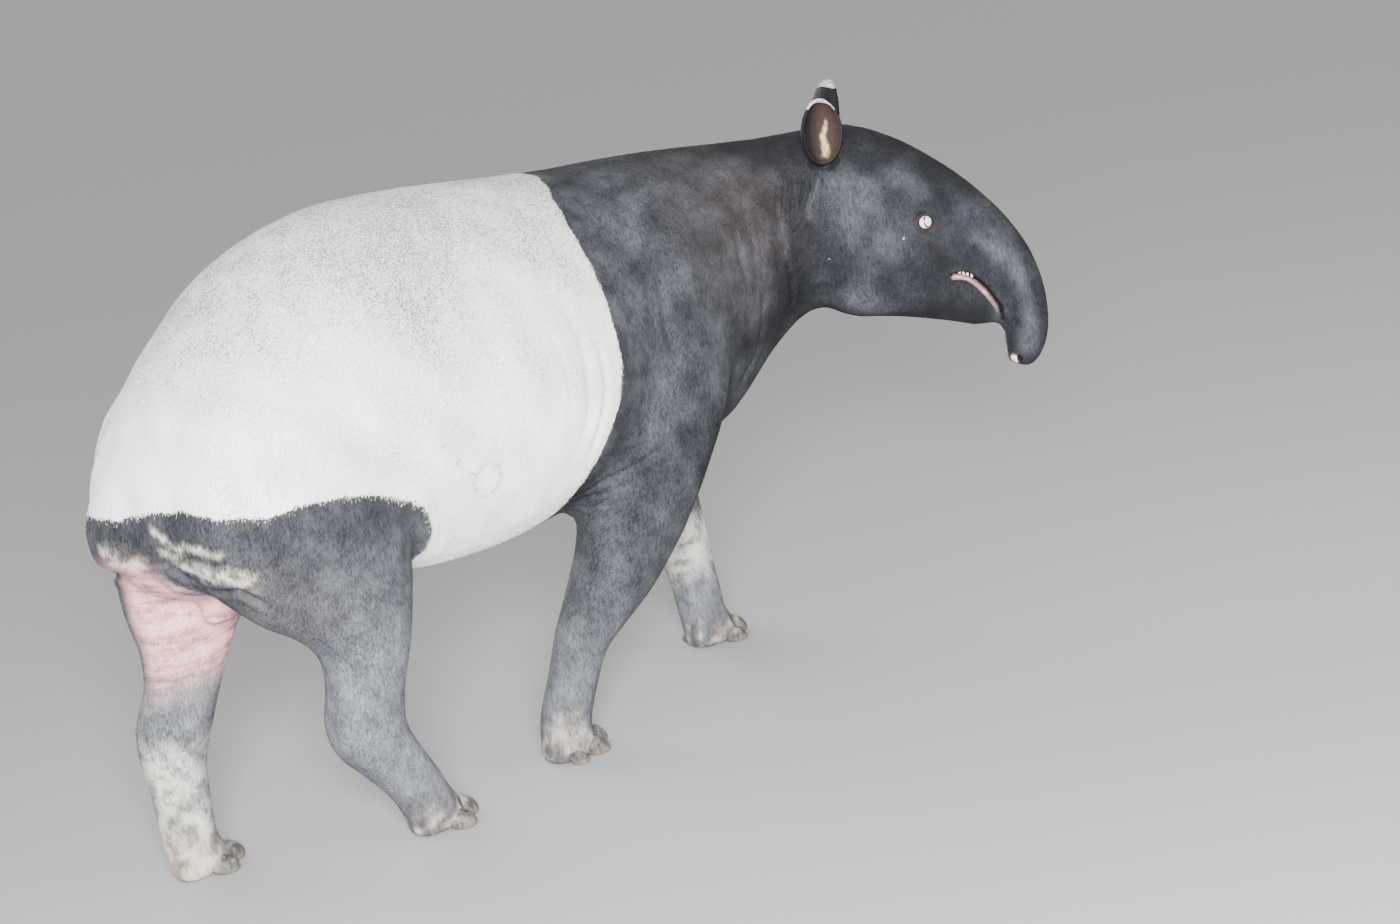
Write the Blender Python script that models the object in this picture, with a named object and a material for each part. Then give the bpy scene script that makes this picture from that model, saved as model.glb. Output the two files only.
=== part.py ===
"""A Malayan tapir, walking, at life size: a still model in metres, +Z up, the head towards +X.

The animal is drawn straight, as a side profile with a half width at each section, and its neck is then bent to the
right. Along is the distance from the hip joints towards the nose, aside is to the left, and height is from the floor.
The flesh is fused, smoothed and parted with thin cuts, and the eyes, ears and hooves are set into it.
"""

import math
from collections import namedtuple

import bmesh
import bpy
import numpy as np
from mathutils import Matrix, Vector
from mathutils.bvhtree import BVHTree

# The neck bend, seen from above: straight as far as NECK_START, then an arc to the right, then the straight head.
NECK_START = 0.950
NECK_RADIUS = 0.454
HEAD_TURN = math.radians(44)

GAP = 0.0003
FLESH_VOXEL = 0.008
SMOOTHING = 14
SPAN_STEPS = 5
TRUNK_SIDES = 40
JAW_SIDES = 24
LEG_SIDES = 24

# How much of the fused mesh each part keeps.
KEPT = {"body": 0.024, "legs": 0.042, "head": 0.088}

# One section of the trunk, neck or head: its highest and lowest point in the straight profile, as (along, height).
# egg above 0 makes it widest low down, as a barrel hangs, and below 0 widest high up.
Section = namedtuple("Section", "place top bottom half_width egg")

TRUNK = [
    Section("point of the rump", (-0.252, 0.668), (-0.252, 0.586), 0.056, 0.00),
    Section("tail root", (-0.226, 0.733), (-0.240, 0.526), 0.114, 0.04),
    Section("buttocks", (-0.166, 0.812), (-0.186, 0.480), 0.161, 0.06),
    Section("croup", (-0.085, 0.890), (-0.100, 0.465), 0.200, 0.06),
    Section("hips", (0.030, 0.972), (0.030, 0.458), 0.232, 0.05),
    Section("loin", (0.190, 1.020), (0.210, 0.400), 0.256, 0.08),
    Section("belly", (0.360, 1.018), (0.370, 0.386), 0.264, 0.12),
    Section("ribs", (0.540, 0.998), (0.540, 0.402), 0.250, 0.10),
    Section("girth", (0.690, 0.983), (0.670, 0.418), 0.218, 0.05),
    Section("withers", (0.830, 0.975), (0.780, 0.432), 0.202, 0.00),
    Section("breast", (0.950, 0.964), (0.890, 0.432), 0.178, 0.00),
    Section("neck base", (1.050, 0.952), (0.985, 0.474), 0.160, 0.00),
    Section("mid neck", (1.150, 0.942), (1.085, 0.545), 0.138, 0.00),
    Section("nape", (1.235, 0.940), (1.175, 0.598), 0.122, 0.00),
    Section("poll", (1.300, 0.938), (1.240, 0.602), 0.114, 0.08),
    Section("jaw angle", (1.350, 0.922), (1.290, 0.580), 0.111, 0.12),
    Section("temple", (1.402, 0.893), (1.340, 0.566), 0.104, 0.15),
    Section("eyes", (1.448, 0.859), (1.388, 0.562), 0.090, 0.14),
    Section("face", (1.511, 0.801), (1.425, 0.576), 0.075, 0.10),
    Section("upper lip", (1.574, 0.723), (1.472, 0.582), 0.060, 0.00),
    Section("bend of the proboscis", (1.616, 0.640), (1.524, 0.556), 0.052, 0.00),
    Section("mid proboscis", (1.632, 0.550), (1.541, 0.515), 0.047, 0.00),
    Section("lower proboscis", (1.622, 0.470), (1.534, 0.462), 0.043, 0.00),
    Section("end of the proboscis", (1.590, 0.420), (1.537, 0.430), 0.037, 0.00),
]

JAW = [
    Section("hinge", (1.330, 0.660), (1.290, 0.572), 0.088, 0.00),
    Section("cheek", (1.400, 0.648), (1.370, 0.554), 0.078, 0.00),
    Section("lip", (1.462, 0.612), (1.446, 0.531), 0.056, 0.00),
    Section("chin", (1.512, 0.576), (1.495, 0.513), 0.042, 0.00),
    Section("front of the chin", (1.536, 0.548), (1.529, 0.514), 0.024, 0.00),
]

# One joint or muscle of a leg: its centre as (along, height), how deep it is from its centre to its front, how far
# its centre stands aside, and its half width from side to side.
Bone = namedtuple("Bone", "place centre depth aside half_width")

HIND_RIGHT = [
    Bone("hip", (0.030, 0.850), 0.090, -0.100, 0.070),
    Bone("haunch", (0.010, 0.730), 0.175, -0.120, 0.116),
    Bone("thigh", (-0.010, 0.610), 0.205, -0.136, 0.122),
    Bone("lower thigh", (0.010, 0.515), 0.172, -0.147, 0.106),
    Bone("stifle", (0.038, 0.430), 0.122, -0.150, 0.086),
    Bone("gaskin", (0.050, 0.351), 0.084, -0.141, 0.073),
    Bone("above the hock", (0.038, 0.281), 0.068, -0.135, 0.061),
    Bone("hock", (0.023, 0.218), 0.073, -0.133, 0.056),
    Bone("below the hock", (0.040, 0.172), 0.060, -0.131, 0.051),
    Bone("cannon", (0.068, 0.124), 0.051, -0.130, 0.048),
    Bone("fetlock", (0.094, 0.070), 0.046, -0.129, 0.048),
    Bone("foot", (0.097, 0.020), 0.038, -0.129, 0.040),
    Bone("sole", (0.097, -0.020), 0.038, -0.129, 0.040),
]

HIND_LEFT = [
    Bone("hip", (0.020, 0.850), 0.090, 0.100, 0.070),
    Bone("haunch", (0.000, 0.730), 0.165, 0.120, 0.116),
    Bone("thigh", (-0.036, 0.610), 0.175, 0.134, 0.122),
    Bone("lower thigh", (-0.070, 0.515), 0.144, 0.143, 0.104),
    Bone("stifle", (-0.107, 0.430), 0.106, 0.142, 0.083),
    Bone("gaskin", (-0.128, 0.361), 0.076, 0.133, 0.070),
    Bone("above the hock", (-0.155, 0.295), 0.063, 0.126, 0.058),
    Bone("hock", (-0.186, 0.239), 0.066, 0.124, 0.055),
    Bone("below the hock", (-0.197, 0.186), 0.055, 0.123, 0.050),
    Bone("cannon", (-0.199, 0.130), 0.050, 0.122, 0.047),
    Bone("fetlock", (-0.204, 0.073), 0.046, 0.121, 0.048),
    Bone("foot", (-0.211, 0.020), 0.038, 0.121, 0.040),
    Bone("sole", (-0.211, -0.020), 0.038, 0.121, 0.040),
]

FORE_RIGHT = [
    Bone("shoulder blade", (0.840, 0.830), 0.080, -0.085, 0.060),
    Bone("shoulder", (0.805, 0.700), 0.120, -0.108, 0.094),
    Bone("upper arm", (0.758, 0.585), 0.126, -0.124, 0.099),
    Bone("elbow", (0.690, 0.478), 0.122, -0.130, 0.089),
    Bone("forearm", (0.641, 0.385), 0.113, -0.119, 0.075),
    Bone("lower forearm", (0.590, 0.300), 0.090, -0.106, 0.064),
    Bone("above the knee", (0.539, 0.243), 0.070, -0.098, 0.055),
    Bone("knee", (0.490, 0.192), 0.052, -0.095, 0.051),
    Bone("cannon", (0.455, 0.130), 0.047, -0.094, 0.046),
    Bone("fetlock", (0.426, 0.075), 0.046, -0.093, 0.048),
    Bone("foot", (0.407, 0.020), 0.040, -0.092, 0.041),
    Bone("sole", (0.405, -0.020), 0.040, -0.092, 0.041),
]

FORE_LEFT = [
    Bone("shoulder blade", (0.850, 0.830), 0.080, 0.085, 0.060),
    Bone("shoulder", (0.850, 0.700), 0.115, 0.108, 0.094),
    Bone("upper arm", (0.852, 0.585), 0.118, 0.126, 0.097),
    Bone("elbow", (0.864, 0.478), 0.106, 0.134, 0.086),
    Bone("forearm", (0.884, 0.380), 0.086, 0.137, 0.073),
    Bone("lower forearm", (0.900, 0.290), 0.067, 0.132, 0.062),
    Bone("knee", (0.914, 0.215), 0.057, 0.130, 0.054),
    Bone("cannon", (0.924, 0.140), 0.050, 0.129, 0.048),
    Bone("fetlock", (0.927, 0.080), 0.047, 0.128, 0.049),
    Bone("foot", (0.924, 0.020), 0.040, 0.128, 0.041),
    Bone("sole", (0.924, -0.020), 0.040, 0.128, 0.041),
]

# A muscle, bone or fold that shows through the skin: centre and half lengths in the straight animal, and its slope
# in degrees, nose down. A paired one is made on both sides.
Muscle = namedtuple("Muscle", "place centre radii slope paired")
MUSCLES = [
    Muscle("groin fold", (-0.060, 0.0, 0.480), (0.105, 0.045, 0.040), -32, False),
    Muscle("cheek", (1.305, 0.036, 0.690), (0.135, 0.080, 0.118), 12, True),
    Muscle("cheekbone", (1.370, 0.066, 0.795), (0.085, 0.036, 0.036), 38, True),
    Muscle("brow", (1.436, 0.050, 0.775), (0.055, 0.036, 0.026), 42, True),
    Muscle("ear root", (1.262, 0.076, 0.862), (0.032, 0.030, 0.045), 0, True),
]

# The tail: centres down its length, with its half thickness and half width.
Joint = namedtuple("Joint", "centre depth half_width")
TAIL = [
    Joint((-0.180, 0.690), 0.036, 0.058),
    Joint((-0.230, 0.668), 0.032, 0.056),
    Joint((-0.258, 0.634), 0.029, 0.053),
    Joint((-0.268, 0.594), 0.026, 0.046),
    Joint((-0.264, 0.555), 0.018, 0.032),
]

# A toe: how far its hoof's centre is ahead of and beside the foot's centre, its splay, and its size against a middle
# hoof's. Right feet are given; the left ones are their mirror images.
Toe = namedtuple("Toe", "name ahead aside splay size")
HIND_TOES = [
    Toe("inner", 0.040, 0.044, 22, 0.90),
    Toe("middle", 0.070, 0.000, 0, 1.10),
    Toe("outer", 0.040, -0.044, -22, 0.90),
]
FORE_TOES = [
    Toe("inner", 0.041, 0.048, 24, 0.88),
    Toe("middle", 0.073, 0.006, 2, 1.10),
    Toe("outer", 0.047, -0.040, -22, 0.92),
    Toe("little", 0.000, -0.051, -55, 0.64),
]
HOOF_LENGTH = 0.0265
HOOF_HALF_WIDTH = 0.0215
HOOF_HEIGHT = 0.036
TOE_RADIUS = 0.028
TOE_ROOT_HEIGHT = 0.068
TOE_TAPER = (1.00, 1.05, 1.05, 1.00, 0.90, 0.72, 0.35)

# Where the parts meet: a point on each cut as (along, height), and the way it leans from upright, in degrees.
Cut = namedtuple("Cut", "centre lean half_height half_width")
UPRIGHT_CUTS = {
    "neck": Cut((0.985, 0.735), -12, 0.360, 0.300),
    "head": Cut((1.186, 0.770), 8, 0.240, 0.200),
    "proboscis": Cut((1.560, 0.625), 11, 0.127, 0.100),
    "tail": Cut((-0.251, 0.615), -4, 0.105, 0.085),
}

# A leg's cut rises outwards from between the legs, from one place along the body to another.
LegCut = namedtuple("LegCut", "back front height slope")
HIND_RIGHT_CUT = LegCut(-0.300, 0.240, 0.370, 33)
HIND_LEFT_CUT = LegCut(-0.340, 0.170, 0.370, 33)
FORE_RIGHT_CUT = LegCut(0.470, 0.980, 0.352, 31)
FORE_LEFT_CUT = LegCut(0.640, 1.060, 0.352, 31)
LEG_CUT_INNER = 0.040
LEG_CUT_OUTER = 0.340

EYE_PLACE = (1.4285, 0.7375)
EYE_RADIUS = 0.0155
EYE_SUNK = 0.0105
EYE_TURN = math.radians(12)
LID_THICKNESS = 0.0040
LID_OPENING = (0.0126, 0.0108)

# The ear's cup is an egg hollowed from its open side; its middle, half lengths, wall and lean are given.
EAR_MIDDLE = (1.277, 0.104, 0.938)
EAR_SHIFT = {1: (0.009, 0.013), -1: (-0.016, -0.002)}
EAR_RADII = {1: (0.047, 0.022, 0.063), -1: (0.051, 0.026, 0.063)}
EAR_WALL = 0.005
EAR_TIP_NARROWING = 0.07
EAR_TURN = {1: math.radians(71), -1: math.radians(12)}
EAR_LEAN = math.radians(8)
EAR_TIP_FORWARD = math.radians(9)
EAR_STALK = 0.0185

# The mouth's slit: points along the lower lip, and how high it gapes over each.
MOUTH_LOWER = [(1.456, 0.6280), (1.474, 0.6235), (1.491, 0.6160), (1.506, 0.6025), (1.520, 0.5830), (1.531, 0.5635)]
MOUTH_LOWER += [(1.539, 0.5450)]
MOUTH_GAPE = [0.0020, 0.0090, 0.0110, 0.0110, 0.0120, 0.0125, 0.0130]
MOUTH_CORE = 0.030
MOUTH_REACH = 0.120

# The teeth that the gape shows: places along the jaw and lengths.
TEETH = [(1.477, 0.0050), (1.484, 0.0065), (1.491, 0.0065), (1.498, 0.0055)]
TOOTH_RADIUS = 0.0032
TOOTH_SUNK = 0.0080

NOSTRIL_PLACE = (1.552, 0.0165, 0.424)
NOSTRIL_RADII = (0.0080, 0.0070, 0.0200)
NOSTRIL_SLOPE = 35

HIDE = (0.050, 0.050, 0.058)
SADDLE = (0.620, 0.630, 0.660)
EYE_BROWN = (0.030, 0.018, 0.012)
HORN = (0.300, 0.250, 0.190)


def bend(point):
    """A point of the straight animal, moved to where the turned neck and head carry it."""
    along, aside, height = point
    if along <= NECK_START:
        return Vector((along, aside, height))
    turn = min((along - NECK_START) / NECK_RADIUS, HEAD_TURN)
    beyond = along - NECK_START - NECK_RADIUS * turn
    x = NECK_START + NECK_RADIUS * math.sin(turn) + beyond * math.cos(turn) + aside * math.sin(turn)
    y = NECK_RADIUS * (math.cos(turn) - 1) - beyond * math.sin(turn) + aside * math.cos(turn)
    return Vector((x, y, height))


def smooth_between(rows, steps):
    """The rows with a Catmull-Rom curve between them."""
    rows = np.array(rows, float)
    padded = np.vstack([2 * rows[0] - rows[1], rows, 2 * rows[-1] - rows[-2]])
    out = []
    for i in range(1, len(padded) - 2):
        before, start, end, after = padded[i - 1 : i + 3]
        for k in range(steps):
            t = k / steps
            rise = (end - before) * t
            sweep = (2 * before - 5 * start + 4 * end - after) * t**2
            swing = (3 * start - before - 3 * end + after) * t**3
            out.append((2 * start + rise + sweep + swing) / 2)
    out.append(rows[-1])
    return out


def mesh_object(name, points, faces):
    mesh = bpy.data.meshes.new(name)
    mesh.from_pydata([tuple(p) for p in points], [], faces)
    obj = bpy.data.objects.new(name, mesh)
    bpy.context.scene.collection.objects.link(obj)
    work = bmesh.new()
    work.from_mesh(mesh)
    bmesh.ops.recalc_face_normals(work, faces=work.faces)
    work.to_mesh(mesh)
    work.free()
    return obj


def loft(name, rings):
    """A closed skin over rings of equally many points, with a fan at each end."""
    sides = len(rings[0])
    points = [p for ring in rings for p in ring]
    faces = []
    for i in range(len(rings) - 1):
        for k in range(sides):
            a, b = i * sides + k, i * sides + (k + 1) % sides
            faces.append((a, b, b + sides, a + sides))
    for first in (0, (len(rings) - 1) * sides):
        ring = points[first : first + sides]
        points.append(np.mean([tuple(p) for p in ring], axis=0))
        faces += [(len(points) - 1, first + k, first + (k + 1) % sides) for k in range(sides)]
    return mesh_object(name, points, faces)


def ring_of(top, bottom, aside, half_width, egg, sides):
    """An egg-shaped ring whose highest and lowest points are given in the profile plane."""
    middle = ((top[0] + bottom[0]) / 2, (top[1] + bottom[1]) / 2)
    half = ((top[0] - bottom[0]) / 2, (top[1] - bottom[1]) / 2)
    ring = []
    for k in range(sides):
        up, out = math.cos(math.tau * k / sides), math.sin(math.tau * k / sides)
        wide = half_width * out * (1 - egg * up)
        ring.append((middle[0] + half[0] * up, aside + wide, middle[1] + half[1] * up))
    return ring


def trunk_loft(name, sections, sides):
    rows = smooth_between([(*s.top, *s.bottom, s.half_width, s.egg) for s in sections], SPAN_STEPS)
    rings = [ring_of(row[0:2], row[2:4], 0.0, row[4], row[5], sides) for row in rows]
    return loft(name, [[bend(p) for p in ring] for ring in rings])


def limb_loft(name, stations):
    """A limb through stations of (along, height, depth, aside, half width), each ring square to the limb."""
    rows = smooth_between(stations, SPAN_STEPS)
    rings = []
    for i, (x, z, depth, aside, half_width) in enumerate(rows):
        ahead, behind = rows[min(i + 1, len(rows) - 1)], rows[max(i - 1, 0)]
        run, fall = ahead[0] - behind[0], ahead[1] - behind[1]
        length = math.hypot(run, fall)
        reach = (-depth * fall / length, depth * run / length)
        front, back = (x + reach[0], z + reach[1]), (x - reach[0], z - reach[1])
        rings.append(ring_of(front, back, aside, half_width, 0.0, LEG_SIDES))
    return loft(name, rings)


def leg_loft(name, bones):
    return limb_loft(name, [(*b.centre, b.depth, b.aside, b.half_width) for b in bones])


def sphere(name, segments=16, rings=10):
    bpy.ops.mesh.primitive_uv_sphere_add(segments=segments, ring_count=rings, radius=1)
    obj = bpy.context.object
    obj.name = name
    return obj


def ellipsoid(name, centre, radii, slope, segments=16, rings=10):
    """An ellipsoid of the straight animal, bent with it."""
    obj = sphere(name, segments, rings)
    turn = Matrix.Rotation(math.radians(slope), 4, "Y")
    for vertex in obj.data.vertices:
        vertex.co = bend(turn @ Vector(c * r for c, r in zip(vertex.co, radii)) + Vector(centre))
    return obj


def muscles():
    made = []
    for m in MUSCLES:
        for side in (1, -1) if m.paired else (1,):
            centre = (m.centre[0], side * m.centre[1], m.centre[2])
            made.append(ellipsoid(m.place, centre, m.radii, m.slope, 24, 16))
    return made


def remove(obj):
    bpy.data.objects.remove(obj)


def join(name, objects):
    bpy.ops.object.select_all(action="DESELECT")
    for obj in objects:
        obj.select_set(True)
    bpy.context.view_layer.objects.active = objects[0]
    bpy.ops.object.join()
    objects[0].name = name
    return objects[0]


def apply_modifier(obj, kind, **settings):
    modifier = obj.modifiers.new(kind.title(), kind)
    for key, value in settings.items():
        setattr(modifier, key, value)
    bpy.context.view_layer.objects.active = obj
    bpy.ops.object.modifier_apply(modifier=modifier.name)


def combine(obj, other, operation):
    """Cuts the other shape out of the object, or fuses it on, and uses it up."""
    apply_modifier(obj, "BOOLEAN", operation=operation, object=other, solver="EXACT")
    remove(other)


def islands(obj):
    """The object's separate closed surfaces, each as its own object, largest first."""
    bpy.ops.object.select_all(action="DESELECT")
    obj.select_set(True)
    bpy.context.view_layer.objects.active = obj
    bpy.ops.mesh.separate(type="LOOSE")
    return sorted(bpy.context.selected_objects, key=lambda o: -len(o.data.polygons))


def keep_largest(obj):
    name = obj.name
    pieces = islands(obj)
    for scrap in pieces[1:]:
        remove(scrap)
    pieces[0].name = name
    return pieces[0]


def inflated(obj):
    """A copy of the object that stands proud of it by the gap."""
    copy = obj.copy()
    copy.data = obj.data.copy()
    bpy.context.scene.collection.objects.link(copy)
    normals = [v.normal.copy() for v in copy.data.vertices]
    for vertex, normal in zip(copy.data.vertices, normals):
        vertex.co += normal * GAP
    return copy


def set_into(piece, host):
    """Opens a seat in the host that the piece fits with the gap all round."""
    combine(host, inflated(piece), "DIFFERENCE")


def foot_centre(bones):
    sole = bones[-1]
    return Vector((sole.centre[0], sole.aside, 0.0))


def toe_place(bones, toe, side):
    """Where a hoof's centre stands on the floor, and the way it points. side is -1 for a right foot."""
    spread = -side * toe.aside
    turn = math.radians(-side * toe.splay)
    return foot_centre(bones) + Vector((toe.ahead, spread, 0.0)), turn


def toe_flesh(bones, toes, side):
    made = []
    for toe in toes:
        tip, turn = toe_place(bones, toe, side)
        foot = foot_centre(bones)
        root = foot + Vector((0.002, (tip.y - foot.y) * 0.45, TOE_ROOT_HEIGHT * toe.size))
        end = tip + Vector((-0.004 * math.cos(turn), -0.004 * math.sin(turn), 0.016))
        rings = []
        for i, taper in enumerate(TOE_TAPER):
            centre = root.lerp(end, i / (len(TOE_TAPER) - 1))
            size = TOE_RADIUS * (0.35 + 0.65 * toe.size) * taper
            ring = []
            for k in range(12):
                angle = math.tau * k / 12
                side_way = Vector((-math.sin(turn), math.cos(turn), 0.0)) * math.cos(angle)
                up_way = Vector((0.35 * math.cos(turn), 0.35 * math.sin(turn), 0.94)) * math.sin(angle)
                ring.append(centre + (side_way + up_way) * size)
            rings.append(ring)
        made.append(loft("toe", rings))
    return made


def hoof(name, place, turn, size):
    """A rounded, nail-like hoof on the floor, leaning back over its toe."""
    obj = sphere(name, 11, 6)
    for vertex in obj.data.vertices:
        x, y, z = vertex.co
        height = max(HOOF_HEIGHT * size * (z + 0.55) / 1.55, 0.0)
        ahead = HOOF_LENGTH * size * x - 0.45 * height
        aside = HOOF_HALF_WIDTH * size * y * (1 - 0.18 * z)
        vertex.co = place + Vector(
            (
                ahead * math.cos(turn) - aside * math.sin(turn),
                ahead * math.sin(turn) + aside * math.cos(turn),
                height,
            )
        )
    return obj


def box_between(name, corners):
    """A box from its eight corners, given in the order of their place ahead, aside and up."""
    faces = [(0, 1, 3, 2), (4, 6, 7, 5), (0, 4, 5, 1), (2, 3, 7, 6), (0, 2, 6, 4), (1, 5, 7, 3)]
    return mesh_object(name, corners, faces)


def upright_slab(name, cut):
    """A slab as thin as the gap, across the straight animal, turned as the bend turns its centre."""
    along, height = cut.centre
    lean = math.radians(cut.lean)
    up = Vector((math.sin(lean), 0.0, math.cos(lean)))
    ahead = Vector((up.z, 0.0, -up.x))
    way = bend((along + 0.01, 0.0, height)) - bend((along - 0.01, 0.0, height))
    turn = Matrix.Rotation(math.atan2(way.y, way.x), 4, "Z")
    corners = []
    for face in (-GAP / 2, GAP / 2):
        for aside in (-cut.half_width, cut.half_width):
            for rise in (-cut.half_height, cut.half_height):
                offset = up * rise + ahead * face + Vector((0.0, aside, 0.0))
                corners.append(bend((along, 0.0, height)) + turn @ offset)
    return box_between(name, corners)


def leg_slab(name, cut, side):
    """A thin slab that rises outwards, under the body, from between the legs to the outside of one leg."""
    slope = math.radians(cut.slope)
    rise = (LEG_CUT_OUTER - LEG_CUT_INNER) * math.tan(slope)
    corners = []
    for x in (cut.back, cut.front):
        for aside, lift in ((LEG_CUT_INNER, 0.0), (LEG_CUT_OUTER, rise)):
            for face in (0.0, GAP / math.cos(slope)):
                corners.append((x, side * aside, cut.height + lift + face))
    return box_between(name, corners)


def floor_cutter():
    return box_between("floor", [(x, y, z) for x in (-1, 2.5) for y in (-1, 1) for z in (-0.2, 0.0)])


LEGS = {
    "hindleg_right": (HIND_RIGHT, HIND_TOES, -1, HIND_RIGHT_CUT),
    "hindleg_left": (HIND_LEFT, HIND_TOES, 1, HIND_LEFT_CUT),
    "foreleg_right": (FORE_RIGHT, FORE_TOES, -1, FORE_RIGHT_CUT),
    "foreleg_left": (FORE_LEFT, FORE_TOES, 1, FORE_LEFT_CUT),
}


def flesh():
    """The whole animal without eyes, ears and hooves, fused and smoothed."""
    pieces = [trunk_loft("trunk", TRUNK, TRUNK_SIDES), trunk_loft("jaw", JAW, JAW_SIDES)]
    for name, (bones, toes, side, _) in LEGS.items():
        pieces.append(leg_loft(name, bones))
        pieces += toe_flesh(bones, toes, side)
    pieces.append(limb_loft("tail", [(*j.centre, j.depth, 0.0, j.half_width) for j in TAIL]))
    obj = join("flesh", pieces + muscles())
    apply_modifier(obj, "REMESH", mode="VOXEL", voxel_size=FLESH_VOXEL)
    apply_modifier(obj, "SMOOTH", factor=0.5, iterations=SMOOTHING)
    return obj


def copy_of(obj, name):
    copy = obj.copy()
    copy.data = obj.data.copy()
    copy.name = name
    bpy.context.scene.collection.objects.link(copy)
    return copy


def cuts():
    """All the thin cuts between the parts, as one cutter."""
    slabs = [upright_slab(name, cut) for name, cut in UPRIGHT_CUTS.items()]
    slabs += [leg_slab(name, cut, side) for name, (_, _, side, cut) in LEGS.items()]
    return join("cuts", slabs)


# A point inside each part, by which its island is known after the cuts.
HEARTS = {
    "torso": Vector((0.40, 0.0, 0.70)),
    "neck": bend((1.06, 0.0, 0.76)),
    "head": bend((1.35, 0.0, 0.74)),
    "proboscis": bend((1.59, 0.0, 0.53)),
    "tail": Vector((-0.256, 0.0, 0.63)),
    "hindleg_right": Vector((0.05, -0.14, 0.25)),
    "hindleg_left": Vector((-0.18, 0.126, 0.25)),
    "foreleg_right": Vector((0.53, -0.10, 0.24)),
    "foreleg_left": Vector((0.91, 0.131, 0.24)),
}
GRADES = {
    "body": ("torso", "neck", "tail"),
    "legs": ("hindleg_right", "hindleg_left", "foreleg_right", "foreleg_left"),
    "head": ("head", "proboscis"),
}


def part_at(heart, pieces):
    """The piece whose box centre is nearest to a part's heart."""

    def distance(obj):
        corners = [Vector(c) for c in obj.bound_box]
        return ((corners[0] + corners[6]) / 2 - heart).length

    return min(pieces, key=distance)


def parted(whole):
    """The flesh, thinned out as each part needs and cut into the named parts."""
    parts = {}
    for grade, names in GRADES.items():
        copy = copy_of(whole, grade)
        apply_modifier(copy, "DECIMATE", ratio=KEPT[grade])
        combine(copy, floor_cutter(), "DIFFERENCE")
        combine(copy, cuts(), "DIFFERENCE")
        pieces = islands(copy)
        for name in names:
            parts[name] = part_at(HEARTS[name], pieces)
        for piece in pieces:
            if piece not in parts.values():
                remove(piece)
    for name, obj in parts.items():
        obj.name = name
    remove(whole)
    return parts


def skin_point(host, along, height, side):
    """Where the straight line in from one side meets the host, and the skin's outward normal there."""
    tree = BVHTree.FromObject(host, bpy.context.evaluated_depsgraph_get())
    start = bend((along, side * 0.5, height))
    way = (bend((along, 0.0, height)) - start).normalized()
    place, normal, _, _ = tree.ray_cast(start, way)
    return place, normal


def facing(side, turn):
    """The way out to one side of the head, turned forward."""
    return (bend((1.5 + math.tan(turn), side, 0.0)) - bend((1.5, 0.0, 0.0))).normalized()


def eye_with_lids(head, name, side):
    """An eyeball in its socket, behind lids raised from the head."""
    place, _ = skin_point(head, *EYE_PLACE, side)
    out = facing(side, EYE_TURN)
    centre = place - out * EYE_SUNK
    frame = out.to_track_quat("Y", "Z").to_matrix()

    lids = sphere("lids", 18, 10)
    for vertex in lids.data.vertices:
        stretch = Vector((1.25 * vertex.co.x, 0.96 * vertex.co.y, 1.05 * vertex.co.z))
        vertex.co = centre + frame @ (stretch * (EYE_RADIUS + LID_THICKNESS))
    combine(head, lids, "UNION")

    rings = []
    for reach, size in ((0.004, 0.55), (EYE_RADIUS, 1.0), (0.034, 1.75)):
        ring = []
        for k in range(16):
            angle = math.tau * k / 16
            across, up = math.cos(angle) * LID_OPENING[0], math.sin(angle) * LID_OPENING[1]
            ring.append(centre + frame @ Vector((across * size, reach, up * size)))
        rings.append(ring)
    combine(head, loft("opening", rings), "DIFFERENCE")

    eye = sphere(name, 14, 9)
    for vertex in eye.data.vertices:
        vertex.co = centre + frame @ (vertex.co * EYE_RADIUS)
    set_into(eye, head)
    return eye


def ear_point(local, side):
    """A point of an ear given ahead of, out from and above its middle."""
    lean = Matrix.Rotation(-EAR_LEAN * side, 3, "X") @ Matrix.Rotation(EAR_TIP_FORWARD, 3, "Y")
    lean = lean @ Matrix.Rotation(-EAR_TURN[side] * side, 3, "Z")
    ahead, up = EAR_SHIFT[side]
    middle = Vector((EAR_MIDDLE[0] + ahead, side * EAR_MIDDLE[1], EAR_MIDDLE[2] + up))
    return bend(middle + lean @ Vector((local[0], side * local[1], local[2])))


def ear(name, side):
    """A cup, open outwards, on a short stalk that goes into the head."""
    radii = EAR_RADII[side]
    cup = sphere(name, 16, 11)
    hollow = sphere("hollow", 14, 9)
    stalk = sphere("stalk", 10, 6)
    for vertex in cup.data.vertices:
        x, y, z = vertex.co
        wide = 1 - EAR_TIP_NARROWING * z
        vertex.co = ear_point((x * radii[0] * wide, y * radii[1], z * radii[2]), side)
    inner = [r - EAR_WALL for r in radii]
    for vertex in hollow.data.vertices:
        x, y, z = vertex.co
        wide = 1 - EAR_TIP_NARROWING * z
        deep = y * radii[1] * 1.25 + radii[1] * 0.25 + EAR_WALL
        vertex.co = ear_point((x * inner[0] * wide, deep, z * inner[2] + 0.003), side)
    for vertex in stalk.data.vertices:
        x, y, z = vertex.co
        local = (x * EAR_STALK, y * EAR_STALK * 0.75 - 0.012, z * 0.028 - radii[2])
        vertex.co = ear_point(local, side)
    for obj in (cup, hollow, stalk):
        point_out(obj)
    combine(cup, hollow, "DIFFERENCE")
    combine(cup, stalk, "UNION")
    return keep_largest(cup)


def point_out(obj):
    """Turns the faces of a mirrored shape outwards."""
    work = bmesh.new()
    work.from_mesh(obj.data)
    bmesh.ops.recalc_face_normals(work, faces=work.faces)
    work.to_mesh(obj.data)
    work.free()


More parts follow.
